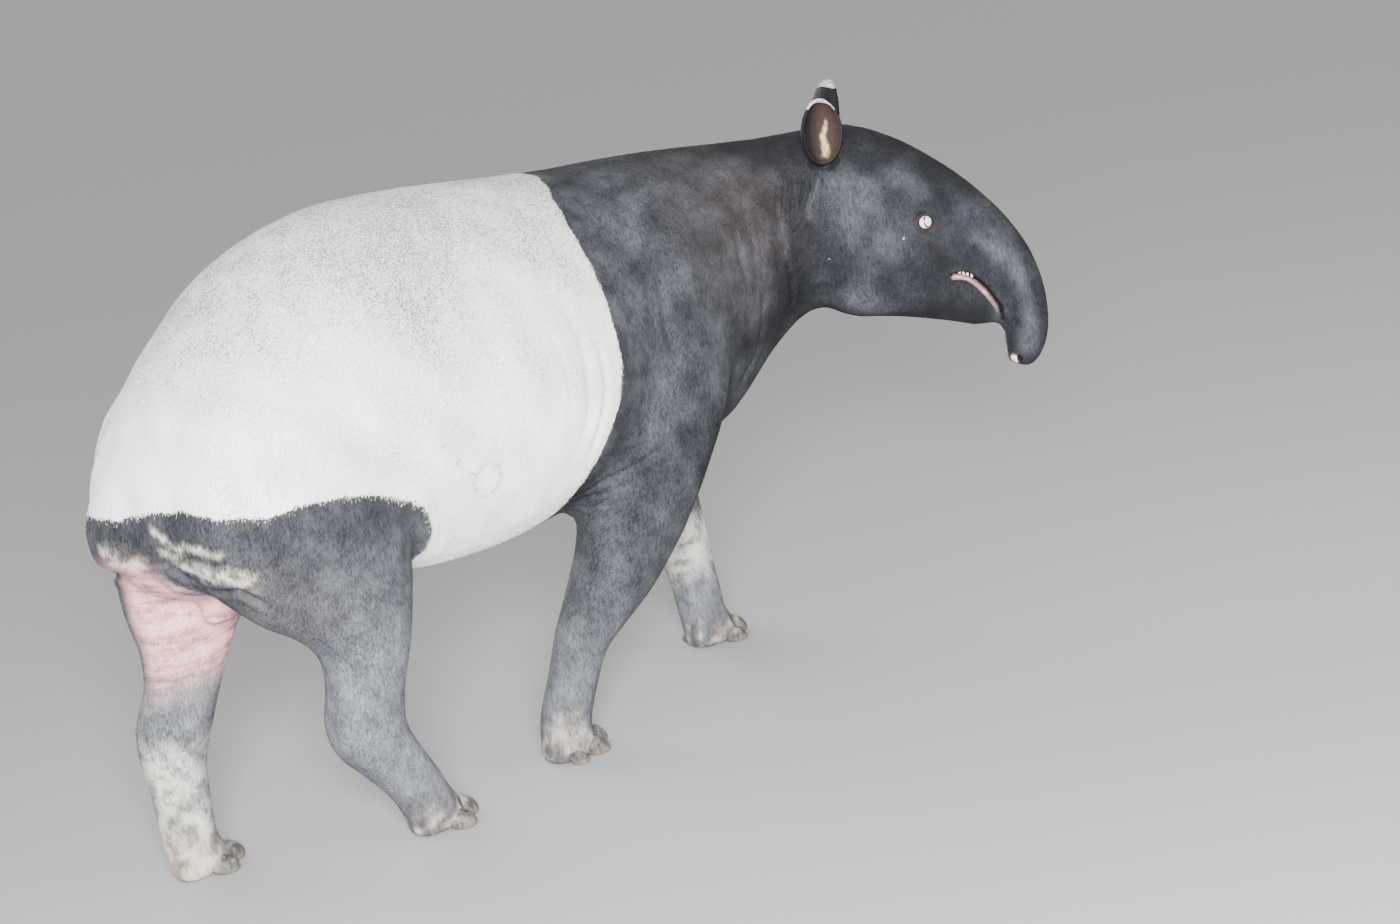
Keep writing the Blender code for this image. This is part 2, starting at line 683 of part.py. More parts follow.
def carve_mouth(head, side):
    """A slit along one side of the mouth, in as far as the core that stands for tongue and gums."""
    corners = []
    for (along, height), gape in zip(MOUTH_LOWER, MOUTH_GAPE):
        for rise in (0.0, gape):
            for aside in (MOUTH_CORE, MOUTH_REACH):
                corners.append(bend((along, side * aside, height + rise)))
    faces = [(0, 1, 3, 2)]
    for i in range(len(MOUTH_LOWER) - 1):
        low, high = 4 * i, 4 * (i + 1)
        for a, b in ((0, 1), (1, 3), (3, 2), (2, 0)):
            faces.append((low + a, low + b, high + b, high + a))
    last = 4 * (len(MOUTH_LOWER) - 1)
    faces.append((last, last + 2, last + 3, last + 1))
    combine(head, mesh_object("slit", corners, faces), "DIFFERENCE")


def add_teeth(head, side):
    for along, length in TEETH:
        lower = np.interp(along, [p[0] for p in MOUTH_LOWER], [p[1] for p in MOUTH_LOWER])
        gape = np.interp(along, [p[0] for p in MOUTH_LOWER], MOUTH_GAPE)
        top = lower + gape
        skin, _ = skin_point(head, along, top + 0.006, side)
        way = facing(side, 0.0)
        middle = skin - way * TOOTH_SUNK
        rings = []
        for rise, size in ((0.006, 1.0), (0.0, 1.0), (-0.6 * length, 0.85), (-length, 0.45)):
            ring = []
            for k in range(8):
                angle = math.tau * k / 8
                offset = Vector((math.cos(angle), math.sin(angle), 0.0)) * TOOTH_RADIUS * size
                ring.append(Vector((middle.x, middle.y, top + rise)) + offset)
            rings.append(ring)
        combine(head, loft("tooth", rings), "UNION")


def carve_nostrils(proboscis):
    along, aside, height = NOSTRIL_PLACE
    for side in (1, -1):
        pit = ellipsoid("nostril", (along, side * aside, height), NOSTRIL_RADII, NOSTRIL_SLOPE, 12, 8)
        combine(proboscis, pit, "DIFFERENCE")


def hooves(parts):
    made = {}
    for name, (bones, toes, side, _) in LEGS.items():
        for toe in toes:
            place, turn = toe_place(bones, toe, side)
            end, side_word = name.split("_")
            piece = hoof(f"hoof_{end[:4]}_{side_word}_{toe.name}", place, turn, toe.size)
            set_into(piece, parts[name])
            made[piece.name] = piece
    return made


def material(name, colour, roughness):
    mat = bpy.data.materials.new(name)
    mat.use_nodes = True
    shader = mat.node_tree.nodes["Principled BSDF"]
    shader.inputs["Base Color"].default_value = (*colour, 1.0)
    shader.inputs["Roughness"].default_value = roughness
    return mat


def finish(parts):
    """Materials, smooth shading, and the part's frame: the middle of its footprint, on the floor."""
    hide = material("dark hide", HIDE, 0.75)
    looks = {
        "torso": material("white saddle", SADDLE, 0.80),
        "eye": material("eye", EYE_BROWN, 0.10),
        "hoof": material("horn", HORN, 0.55),
    }
    corners = [obj.matrix_world @ Vector(c) for obj in parts.values() for c in obj.bound_box]
    middle = [(min(c[i] for c in corners) + max(c[i] for c in corners)) / 2 for i in (0, 1)]
    for name, obj in parts.items():
        obj.data.materials.clear()
        obj.data.materials.append(looks.get(name.split("_")[0], hide))
        obj.data.transform(Matrix.Translation((-middle[0], -middle[1], 0.0)))
        obj.data.shade_smooth()
        obj.data.set_sharp_from_angle(angle=math.radians(35))


def clear_scene():
    for obj in list(bpy.data.objects):
        remove(obj)


def build():
    clear_scene()
    parts = parted(flesh())
    for word, side in (("left", 1), ("right", -1)):
        carve_mouth(parts["head"], side)
        add_teeth(parts["head"], side)
        parts["eye_" + word] = eye_with_lids(parts["head"], "eye_" + word, side)
        parts["ear_" + word] = ear("ear_" + word, side)
        set_into(parts["ear_" + word], parts["head"])
    carve_nostrils(parts["proboscis"])
    parts.update(hooves(parts))
    for name in [n for n in parts if not n.startswith(("ear", "eye", "hoof"))]:
        parts[name] = keep_largest(parts[name])
    finish(parts)


build()
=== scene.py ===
# %% [markdown]
# # A Malayan tapir, dressed as a museum model
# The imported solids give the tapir's true form in cleanly parted blocks. This lesson grows one seamless hide
# from them, sculpts the folds of a real animal into it, and covers it with short, flat hair in its black
# and white coat. Everything is measured in metres, in the frame of the solids: +X is the way the tapir
# walks, and +Y is its left.

# %% The frame
import math
from collections import namedtuple

import bpy
import numpy as np
from mathutils import Matrix, Vector
from mathutils.bvhtree import BVHTree


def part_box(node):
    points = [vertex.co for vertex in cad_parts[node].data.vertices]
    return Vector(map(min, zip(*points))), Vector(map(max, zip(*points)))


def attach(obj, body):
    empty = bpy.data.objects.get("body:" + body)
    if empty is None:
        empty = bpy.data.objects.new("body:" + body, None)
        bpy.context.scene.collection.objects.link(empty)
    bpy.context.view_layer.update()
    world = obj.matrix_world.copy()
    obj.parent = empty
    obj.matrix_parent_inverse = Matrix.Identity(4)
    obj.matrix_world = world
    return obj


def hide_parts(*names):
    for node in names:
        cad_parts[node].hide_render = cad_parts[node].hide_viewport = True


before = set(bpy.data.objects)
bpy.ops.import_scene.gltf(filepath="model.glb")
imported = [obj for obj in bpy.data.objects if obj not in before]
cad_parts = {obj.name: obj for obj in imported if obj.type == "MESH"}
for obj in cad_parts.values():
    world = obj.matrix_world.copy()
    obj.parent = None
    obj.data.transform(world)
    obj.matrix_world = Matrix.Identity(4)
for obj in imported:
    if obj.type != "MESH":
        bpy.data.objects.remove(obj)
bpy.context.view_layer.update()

print("nodes:", len(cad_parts))

# %% [markdown]
# ## The straight animal
# A tapir is easiest to describe as if it stood straight: how far along from the hip joints, how far aside
# to its left, and how high. The real one has turned its head to the right, so a place on the neck or head
# is carried there by an arc. The hips are found from a hoof, and the same arc as in the solids leads both
# ways.

# %% Places on the straight animal
HOOF_FROM_HIPS = Vector((0.1640, -0.1265, 0.0))
hoof_low, hoof_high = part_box("hoof_hind_right_middle")
HIPS = (hoof_low + hoof_high) / 2 - HOOF_FROM_HIPS
HIPS.z = 0.0
NECK_START = 0.950
NECK_RADIUS = 0.454
HEAD_TURN = math.radians(44)


def placed(points):
    """Rows of (along, aside, height) on the straight animal, carried to where the real places are."""
    along, aside, height = np.atleast_2d(np.array(points, float)).T
    turn = np.clip((along - NECK_START) / NECK_RADIUS, 0, HEAD_TURN)
    ahead = np.minimum(along, NECK_START)
    beyond = np.maximum(along - NECK_START - NECK_RADIUS * HEAD_TURN, 0)
    x = ahead + (NECK_RADIUS + aside) * np.sin(turn) + beyond * np.cos(turn)
    y = aside * np.cos(turn) + NECK_RADIUS * (np.cos(turn) - 1) - beyond * np.sin(turn)
    return np.stack([x + HIPS.x, y + HIPS.y, height], 1)


def straight(points):
    """The way back: rows of (along, aside, height) for points of the real animal, and each one's turn."""
    x, y, z = np.atleast_2d(points).T
    x, y = x - HIPS.x - NECK_START, y - HIPS.y
    turn = np.clip(np.arctan2(x, y + NECK_RADIUS), 0, HEAD_TURN)
    turn[x <= 0] = 0.0
    forward = x * np.cos(turn) - (y + NECK_RADIUS) * np.sin(turn)
    sideways = x * np.sin(turn) + (y + NECK_RADIUS) * np.cos(turn) - NECK_RADIUS
    along = NECK_START + NECK_RADIUS * turn + forward
    return np.stack([along, sideways, z], 1), turn


def place(along, aside, height):
    return Vector(placed([(along, aside, height)])[0])


check = straight(placed([(1.40, -0.08, 0.7), (1.05, 0.10, 0.6), (0.30, 0.20, 0.5)]))[0]
print("hips at", [round(v, 3) for v in HIPS], "and back:", np.round(check, 4).tolist())


# %% [markdown]
# ## Camera, floor and light
# The photograph was taken with a short telephoto lens from behind the tapir's right flank, a little above
# its back, with the camera tipped sideways. The animal stands on a plain pale floor here, in large, soft
# lights.

# %% The camera
CAMERA_FROM_HIPS = Vector((-1.6497, -3.2589, 1.3319))
CAMERA_AZIMUTH = math.radians(38.0)
CAMERA_DOWN = math.radians(12.9)
CAMERA_ROLL = math.radians(-11.2)
LENS_MM = 58.83

bpy.ops.object.camera_add(location=HIPS + CAMERA_FROM_HIPS)
camera = bpy.context.object
camera.name = "photo_camera"
level_part = math.cos(CAMERA_DOWN)
ahead_part, aside_part = math.cos(CAMERA_AZIMUTH) * level_part, math.sin(CAMERA_AZIMUTH) * level_part
look = Vector((aside_part, ahead_part, -math.sin(CAMERA_DOWN)))
level = look.to_track_quat("-Z", "Y").to_matrix()
camera.rotation_euler = (level @ Matrix.Rotation(CAMERA_ROLL, 3, "Z")).to_euler()
camera.data.lens = LENS_MM
camera.data.sensor_width = 36.0
camera.data.clip_end = 200.0
bpy.context.scene.camera = camera
print("camera at", [round(v, 2) for v in camera.location])


# %% Floor and lights
LIGHTS_AIM = Vector((0.0, 0.0, 0.55))
FLOOR_RADIUS = 60.0
FLOOR_GREY = 0.38


def only(obj):
    """Selects one object and nothing else."""
    bpy.ops.object.select_all(action="DESELECT")
    obj.select_set(True)
    bpy.context.view_layer.objects.active = obj


def area_light(name, spot, size, watts):
    bpy.ops.object.light_add(type="AREA", location=spot)
    light = bpy.context.object
    light.name = name
    light.rotation_euler = (LIGHTS_AIM - Vector(spot)).to_track_quat("-Z", "Y").to_euler()
    light.data.shape = "DISK"
    light.data.size = size
    light.data.energy = watts


bpy.ops.mesh.primitive_circle_add(vertices=96, radius=FLOOR_RADIUS, fill_type="NGON")
floor = bpy.context.object
floor.name = "floor"
paper = bpy.data.materials.new("pale_floor")
paper.use_nodes = True
paper_shader = paper.node_tree.nodes["Principled BSDF"]
paper_shader.inputs["Base Color"].default_value = (FLOOR_GREY,) * 3 + (1.0,)
paper_shader.inputs["Roughness"].default_value = 1.0
paper_shader.inputs["Specular IOR Level"].default_value = 0.0
floor.data.materials.append(paper)

area_light("key", (-2.6, -3.7, 1.65), 1.5, 780.0)
area_light("fill", (2.2, -5.0, 2.6), 3.0, 60.0)

# A wide, soft sun lights the far side. It lights the whole floor alike, so it leaves no pool of light
# behind.
SUN_HEIGHT = math.radians(20)
SUN_STRENGTH = 3.2
bpy.ops.object.light_add(type="SUN", location=(0.6, 5.6, 2.0), rotation=(SUN_HEIGHT - math.pi / 2, 0.0, 0.0))
bpy.context.object.name = "far_side"
bpy.context.object.data.energy = SUN_STRENGTH
bpy.context.object.data.angle = math.radians(50)

# The sky is a pale dome. Near the horizon it is as bright as the far floor, so the two meet without an
# edge.
SKY = 0.80
DOME_SHARE = 0.925
SUN_ON_FLOOR = SUN_STRENGTH * math.sin(SUN_HEIGHT) / math.pi
HORIZON = (SKY * DOME_SHARE + SUN_ON_FLOOR) * FLOOR_GREY / (1 - FLOOR_GREY * (1 - DOME_SHARE))
world = bpy.data.worlds.new("studio")
world.use_nodes = True
sky = world.node_tree
facing = sky.nodes.new("ShaderNodeTexCoord")
split = sky.nodes.new("ShaderNodeSeparateXYZ")
dome = sky.nodes.new("ShaderNodeMapRange")
dome.interpolation_type = "SMOOTHSTEP"
dome.inputs["From Max"].default_value = 0.50
dome.inputs["To Min"].default_value = HORIZON
dome.inputs["To Max"].default_value = SKY
sky.links.new(facing.outputs["Generated"], split.inputs[0])
sky.links.new(split.outputs["Z"], dome.inputs["Value"])
sky.links.new(dome.outputs[0], sky.nodes["Background"].inputs["Color"])
bpy.context.scene.world = world


# %% [markdown]
# ## One hide from the parted solids
# The solids meet along thin cuts, because a person would name them apart. A real hide has no such cuts.
# Copies of the flesh are swollen by a hair's breadth so that they overlap, and a voxel remesh then melts
# them into one skin. Plugs fill the mouth and the eye sockets first, because both are carved again, finer,
# further down.

# %% Copies of the flesh
FLESH = ["torso", "neck", "head", "proboscis", "tail"]
FLESH += ["foreleg_left", "foreleg_right", "hindleg_left", "hindleg_right"]
HOOVES = sorted(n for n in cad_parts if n.startswith("hoof"))
OVERLAP = 0.0006
HIDE_VOXEL = 0.0118


def rows_of(items, key):
    """One vector of each vertex, face or normal of a mesh, as rows of numbers."""
    values = np.empty(len(items) * 3, np.float32)
    items.foreach_get(key, values)
    return values.reshape(-1, 3).astype(float)


def world_points(mesh):
    return rows_of(mesh.vertices, "co")


def normals_of(mesh):
    return rows_of(mesh.vertex_normals, "vector")


def move_points(mesh, points):
    mesh.vertices.foreach_set("co", points.astype(np.float32).ravel())
    mesh.update()


def apply(obj, kind, **settings):
    """Adds a modifier, sets it and applies it."""
    only(obj)
    modifier = obj.modifiers.new(kind.lower(), kind)
    for key, value in settings.items():
        setattr(modifier, key, value)
    bpy.ops.object.modifier_apply(modifier=modifier.name)


def copy_of(node, name):
    """A merged copy of a CAD node, whose own mesh is loose triangles."""
    only(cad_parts[node])
    bpy.ops.object.duplicate()
    copy = bpy.context.object
    copy.name = name
    copy.parent = None
    for key in list(copy.keys()):
        del copy[key]
    copy.data.materials.clear()
    bpy.ops.object.mode_set(mode="EDIT")
    bpy.ops.mesh.select_all(action="SELECT")
    bpy.ops.mesh.remove_doubles(threshold=0.00001)
    bpy.ops.object.mode_set(mode="OBJECT")
    return copy


def ball(name, centre, radius):
    """A round plug for a hollow that is carved again later."""
    bpy.ops.object.select_all(action="DESELECT")
    bpy.ops.mesh.primitive_uv_sphere_add(segments=24, ring_count=16, radius=radius, location=centre)
    bpy.ops.object.transform_apply(location=True, rotation=False, scale=False)
    bpy.context.object.name = name
    return bpy.context.object


def join(name, objects):
    bpy.ops.object.select_all(action="DESELECT")
    for obj in objects:
        obj.select_set(True)
    bpy.context.view_layer.objects.active = objects[0]
    bpy.ops.object.join()
    objects[0].name = name
    return objects[0]


parts = [copy_of(node, "flesh_" + node) for node in FLESH]
for part in parts:
    move_points(part.data, world_points(part.data) + OVERLAP * normals_of(part.data))
print("copied", len(parts), "parts of the flesh")

# %% Plugs, and the melt into one skin
MOUTH = [(1.456, 0.6290), (1.474, 0.6280), (1.491, 0.6215), (1.506, 0.6080), (1.520, 0.5890)]
MOUTH += [(1.531, 0.5700), (1.540, 0.5510), (1.543, 0.5330), (1.542, 0.5200)]
MOUTH_PLUG = 0.017
HOOF_PLUG = 0.80


def beside(obj, along, height, side):
    """Where the line in from one side meets the object."""
    tree = BVHTree.FromObject(obj, bpy.context.evaluated_depsgraph_get())
    start = place(along, side * 0.4, height)
    return tree.ray_cast(start, (place(along, 0.0, height) - start).normalized())[0]


head_copy = next(p for p in parts if p.name == "flesh_head")
plugs = []
for (along, height), (next_along, next_height) in zip(MOUTH, MOUTH[1:]):
    for part_way in (0.0, 0.25, 0.5, 0.75):
        x = along + (next_along - along) * part_way
        z = height + (next_height - height) * part_way
        for side in (-1, 1):
            above, below = beside(head_copy, x, z + 0.020, side), beside(head_copy, x, z - 0.016, side)
            if above is None or below is None:
                continue
            inward = (place(x, 0.0, z) - place(x, side * 0.1, z)).normalized()
            plugs.append(ball("plug", (above + below) / 2 + inward * (MOUTH_PLUG - 0.001), MOUTH_PLUG))
eyes_at = {}
for word in ("left", "right"):
    low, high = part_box("eye_" + word)
    eyes_at[word] = (low + high) / 2
    plugs.append(ball("plug", eyes_at[word], (high.z - low.z) / 2))
for node in HOOVES:
    plug = copy_of(node, "plug")
    low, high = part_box(node)
    middle = np.array((low + high) / 2)
    move_points(plug.data, middle + HOOF_PLUG * (world_points(plug.data) - middle))
    plugs.append(plug)
hide = join("hide", parts + plugs)
apply(hide, "REMESH", mode="VOXEL", voxel_size=HIDE_VOXEL)
apply(hide, "SMOOTH", factor=0.5, iterations=5)
print("hide:", len(hide.data.polygons), "faces")

# %% [markdown]
# ## Finer where it matters
# Most of the hide is smooth, but the head, the folds and the feet need smaller faces. Faces near each are
# picked by their place and subdivided, twice at the mouth, the nostrils, the fine wrinkles and the small
# marks, three times at the eyes, and then relaxed.

# %% Folds and creases, in places of the straight animal
Fold = namedtuple("Fold", "width depth path")
FOLDS_MM = [
    # width, depth and path, in millimetres
    # round the buttock, over the pale inner thigh
    (10, 8, [(-240, -75, 572), (-221, -106, 564), (-204, -110, 533), (-186, -130, 517), (-162, -189, 509),
             (-137, -197, 486), (-111, -199, 454)]),
    (8, 5, [(-232, -84, 559), (-208, -80, 517), (-180, -100, 480), (-150, -130, 455), (-120, -140, 435)]),
    (6, 3, [(-226, -95, 548), (-205, -92, 505), (-178, -115, 470)]),
    # in front of the stifle, where the thigh meets the flank
    (14, 7, [(215, -100, 425), (206, -160, 470), (196, -200, 510), (178, -225, 560)]),
    (8, 4, [(30, -242, 474), (72, -231, 447), (116, -212, 418)]),
    (7, 4, [(35, -235, 436), (67, -227, 416), (108, -208, 393)]),
    # behind the elbow and up over the forearm
    (9, 7, [(470, -160, 450), (530, -155, 450), (563, -168, 461), (592, -184, 469), (629, -203, 482),
            (680, -215, 505)]),
    (7, 4, [(505, -110, 418), (542, -134, 416), (575, -168, 421)]),
    (6, 3, [(520, -140, 433), (560, -160, 438), (600, -185, 447)]),
    # the crease behind the jaw, the long folds of the neck, and the fold from the throat to the breast
    (9, 7, [(1114, -137, 765), (1115, -136, 724), (1119, -127, 686), (1120, -114, 651), (1118, -99, 615)]),
    (9, 4, [(1037, -123, 875), (1010, -146, 817), (1004, -157, 775), (999, -161, 730)]),
    (12, 7, [(1020, -150, 700), (999, -155, 642), (981, -142, 590), (944, -138, 555), (915, -130, 525)]),
    (10, 4, [(960, -165, 840), (948, -178, 760), (950, -175, 690)]),
    # down the shoulder, and the loose hide of the flank behind it
    (13, 4, [(735, -200, 800), (720, -210, 700), (735, -215, 610)]),
    (14, 3.5, [(500, -250, 820), (512, -260, 720), (500, -260, 610), (470, -250, 520)]),
    (11, 4, [(545, -250, 740), (545, -250, 640), (515, -250, 540), (490, -240, 490)]),
    (12, 2.5, [(450, -250, 780), (465, -260, 680), (455, -260, 590)]),
]
MIRRORED_DEPTH = 0.9


def metres(rows):
    """Rows of millimetres as rows of metres."""
    return [tuple(value / 1000 for value in row) for row in rows]


FOLDS = [Fold(width / 1000, depth / 1000, metres(path)) for width, depth, path in FOLDS_MM]
MIRRORED = [Fold(f.width, f.depth * MIRRORED_DEPTH, [(x, -y, z) for x, y, z in f.path]) for f in FOLDS]

# Fine wrinkles run down the neck from behind and below each ear and meet behind the jaw.
FAN_BACK = np.array(metres([(1152, 95, 880), (1122, 125, 838), (1109, 132, 801), (1111, 136, 768)]))
FAN_FRONT = np.array(metres([(1246, 90, 882), (1243, 103, 846), (1208, 117, 803), (1124, 134, 757)]))
FAN_LINES = 9
FAN_WIDTH = 0.0052
FAN_DEPTH = 0.0043
FAN_DEEPER = 0.0008


def fan_of_wrinkles():
    made = []
    for k in range(FAN_LINES):
        t = k / (FAN_LINES - 1)
        line = FAN_BACK + (FAN_FRONT - FAN_BACK) * t
        line[1, 0] += 0.005 * math.sin(2.4 * k)
        for side in (-1, 1):
            depth = FAN_DEPTH + FAN_DEEPER * (k % 3)
            made.append(Fold(FAN_WIDTH, depth, (line * (1, side, 1)).tolist()))
    return made


FAN = fan_of_wrinkles()
ALL_FOLDS = FOLDS + MIRRORED + FAN
print(len(ALL_FOLDS), "folds")


# %% Which faces are near what
HEAD_FROM = 1.19
FEET_BELOW = 0.075
MARK_REACH = 0.018
SCAR_REACH = 0.048
FOLD_MARGIN = 0.012


def snapped(path, tree):
    """A path of the straight animal laid on the skin, with a point about every centimetre."""
    ends = [Vector(p) for p in placed(path)]
    out = []
    for a, b in zip(ends, ends[1:]):
        steps = max(int((b - a).length / 0.010), 1)
        out += [tree.find_nearest(a.lerp(b, k / steps))[0] for k in range(steps)]
    out.append(tree.find_nearest(ends[-1])[0])
    return np.array(out)


def distance_to_path(points, path):
    """How far each point is from a polyline, and what share of the way along it the nearest place is."""
    nearest = np.full(len(points), np.inf)
    at = np.zeros(len(points))
    for i, (a, b) in enumerate(zip(path, path[1:])):
        run = b - a
        t = np.clip((points - a) @ run / (run @ run), 0, 1)
        gap = np.linalg.norm(points - a - t[:, None] * run, axis=1)
        closer = gap < nearest
        nearest[closer] = gap[closer]
        at[closer] = (i + t[closer]) / (len(path) - 1)
    return nearest, at


def face_centres(mesh):
    return rows_of(mesh.polygons, "center")


def edit_chosen(obj, kind, items, chosen):
    """Opens an object in edit mode with only the chosen vertices or faces selected."""
    only(obj)
    bpy.ops.object.mode_set(mode="EDIT")
    bpy.ops.mesh.select_mode(type=kind)
    bpy.ops.mesh.select_all(action="DESELECT")
    bpy.ops.object.mode_set(mode="OBJECT")
    items.foreach_set("select", chosen)
    bpy.ops.object.mode_set(mode="EDIT")


def refine(obj, chosen, relax):
    """Subdivides the chosen faces once and smooths them."""
    edit_chosen(obj, "FACE", obj.data.polygons, chosen)
    bpy.ops.mesh.subdivide(number_cuts=1)
    bpy.ops.mesh.vertices_smooth(factor=0.5, repeat=relax)
    bpy.ops.object.mode_set(mode="OBJECT")


def near_any(points, spots, reach):
    return np.any([np.linalg.norm(points - np.array(s), axis=1) < reach for s in spots], axis=0)


# Small marks of this one animal: scabs, pale specks, and a ring-shaped scar with a scratch leading to it.
SCABS = [(1.163, -0.033, 0.934, 0.0045), (1.176, -0.063, 0.914, 0.0035), (1.117, -0.122, 0.835, 0.0035)]
PALE_SPECKS = [(1.386, -0.097, 0.718, 0.0022), (1.229, -0.107, 0.706, 0.0018), (1.019, -0.155, 0.675, 0.0035)]
SCAR_MIDDLE = (0.285, -0.247, 0.553)
SCAR_RADII = (0.024, 0.027)
SCRATCH = [(0.205, 0.635), (0.235, 0.592), (0.262, 0.566)]
SMALL_MARKS = placed([mark[:3] for mark in SCABS + PALE_SPECKS])

tree = BVHTree.FromObject(hide, bpy.context.evaluated_depsgraph_get())
fold_paths = [snapped(f.path, tree) for f in ALL_FOLDS]
centres = face_centres(hide.data)
where = straight(centres)[0]
chosen = (where[:, 0] > HEAD_FROM) | (centres[:, 2] < FEET_BELOW)
chosen |= near_any(centres, SMALL_MARKS, MARK_REACH)
chosen |= near_any(centres, placed([SCAR_MIDDLE]), SCAR_REACH)
for fold, path in zip(ALL_FOLDS, fold_paths):
    chosen |= distance_to_path(centres, path)[0] < FOLD_MARGIN + 1.5 * fold.width
refine(hide, chosen, 3)
print("once refined:", len(hide.data.polygons), "faces")

# %% Finer still round the eyes, the mouth and the nostrils
NOSTRIL = (1.5605, 0.0285, 0.442)
FINE_REACH = {
    "eye": 0.045,
    "mark": 0.010,
    "scar": 0.042,
    "fan": 0.008,
    "nostril": 0.032,
    "mouth": 0.026,
}
FINEST_AT_EYE = 0.026
MOUTH_HALF_WIDTH = 0.09

centres = face_centres(hide.data)
where = straight(centres)[0]
fine = near_any(centres, eyes_at.values(), FINE_REACH["eye"])
fine |= near_any(centres, SMALL_MARKS, FINE_REACH["mark"])
fine |= near_any(centres, placed([SCAR_MIDDLE]), FINE_REACH["scar"])
for path in fold_paths[-len(FAN):]:
    fine |= distance_to_path(centres, path)[0] < FINE_REACH["fan"]
nostrils = placed([(NOSTRIL[0], side * NOSTRIL[1], NOSTRIL[2]) for side in (-1, 1)])
fine |= near_any(centres, nostrils, FINE_REACH["nostril"])
mouth_gap, _ = distance_to_path(where[:, [0, 2]], np.array(MOUTH))
fine |= (mouth_gap < FINE_REACH["mouth"]) & (np.abs(where[:, 1]) < MOUTH_HALF_WIDTH)
refine(hide, fine, 2)
centres = face_centres(hide.data)
refine(hide, near_any(centres, eyes_at.values(), FINEST_AT_EYE), 1)
print("twice refined:", len(hide.data.polygons), "faces")

# %% [markdown]
# ## Folds, lids, lips and nostrils
# A tapir's hide is thick and loose. It creases behind the elbow, in front of the thigh, round the buttock
# and across the neck, where the head has turned. The hide also lies a few millimetres under the hair, so it
# is drawn in first by that much. The lids are turned down over the eyeballs, the lips roll round a narrow
# gap, and the nostrils go in as deep pits.

# %% Under the hair, then creased
HAIR_DEPTH_BODY = 0.0022
HAIR_DEPTH_HEAD = 0.0012


def smooth_step(low, high, values):
    t = np.clip((np.asarray(values, float) - low) / (high - low), 0, 1)
    return t * t * (3 - 2 * t)


def falling(low, high, values):
    """1 below the low value and 0 above the high one."""
    return 1 - smooth_step(low, high, values)


def mound(values, middle, width):
    """1 at the middle value and falling off on both sides."""
    return np.exp(-(((values - middle) / width) ** 2))


points = world_points(hide.data)
normals = normals_of(hide.data)
where, _ = straight(points)
depth = HAIR_DEPTH_BODY + (HAIR_DEPTH_HEAD - HAIR_DEPTH_BODY) * smooth_step(1.12, 1.28, where[:, 0])
depth *= smooth_step(0.0, 0.16, points[:, 2])
points -= depth[:, None] * normals
move = np.zeros(len(points))
for fold, path in zip(ALL_FOLDS, fold_paths):
    gap, at = distance_to_path(points, path)
    reach = gap / fold.width
    press = np.exp(-((reach / 0.5) ** 2)) - 0.38 * mound(reach, 1.2, 0.6)
    move -= fold.depth * press * smooth_step(0, 0.22, np.minimum(at, 1 - at))
points += move[:, None] * normals
print("deepest crease", round(float(-move.min()) * 1000, 1), "mm")

# %% Softer swellings and hollows
Swelling = namedtuple("Swelling", "centre reach lift")
SWELLINGS = [
    # brow, temple hollow, cheek muscle, the bony ridge down the face, the jaw's corner
    Swelling((1.405, 0.074, 0.775), (0.030, 0.030, 0.014), 0.0045),
    Swelling((1.352, 0.095, 0.785), (0.034, 0.040, 0.020), -0.0035),
    Swelling((1.445, 0.070, 0.795), (0.022, 0.030, 0.020), -0.0040),
    Swelling((1.330, 0.110, 0.700), (0.050, 0.050, 0.045), 0.0040),
    Swelling((1.470, 0.060, 0.700), (0.045, 0.030, 0.014), 0.0030),
    Swelling((1.405, 0.080, 0.690), (0.040, 0.030, 0.012), -0.0025),
    Swelling((1.545, 0.040, 0.640), (0.040, 0.030, 0.018), 0.0025),
    # shoulder blade, elbow, hip bone, stifle, ribs' end
    Swelling((0.790, 0.190, 0.730), (0.040, 0.080, 0.130), 0.0050),
    Swelling((0.700, 0.200, 0.640), (0.035, 0.080, 0.090), -0.0040),
    Swelling((0.130, 0.200, 0.800), (0.060, 0.080, 0.035), 0.0050),
    Swelling((0.300, 0.220, 0.700), (0.060, 0.080, 0.090), -0.0050),
    Swelling((0.500, 0.250, 0.620), (0.100, 0.080, 0.080), 0.0030),
]

where, _ = straight(points)
swell = np.zeros(len(points))
for s in SWELLINGS:
    for side in (-1, 1):
        away = (where - np.array(s.centre) * (1, side, 1)) / np.array(s.reach)
        swell += s.lift * np.exp(-(away**2).sum(1))
points += swell[:, None] * normals

# %% Lids turned down over the eyeballs
LID_OPENING = (0.0126, 0.0112)
EYE_RADIUS = 0.0155
EYE_TURN = math.tan(math.radians(12))
LID_LIP = 0.0030
LID_SINK = 0.0045
LID_FALL = 0.0016
LID_RINGS = 3.2
UPPER_FOLD = (1.62, 0.13, 0.0016)
LOWER_FOLD = (1.58, 0.12, 0.0011)
eye_axes = {}
for word, side in (("left", 1), ("right", -1)):
    out = np.array((place(1.5 + EYE_TURN, side, 0) - place(1.5, 0, 0)).normalized())
    up = np.array((0.0, 0.0, 1.0))
    ahead = np.cross(out, up) * side
    ahead /= np.linalg.norm(ahead)
    eye_axes[word] = (np.array(eyes_at[word]), out, ahead, np.cross(ahead, out) * side)


def eye_place(points, word):
    """Every point's place round an eye: ring (1 at the lids' edge), from the axis, along it, ahead and up."""
    centre, out, ahead, up = eye_axes[word]
    away = points - centre
    along, across, rise = away @ out, away @ ahead, away @ up
    rise_scale = LID_OPENING[1] * (1 - 0.16 * np.clip(across / LID_OPENING[0], -1, 1) ** 2)
    ring = np.hypot(across / LID_OPENING[0], rise / rise_scale)
    return ring, np.hypot(across, rise), along, across, rise


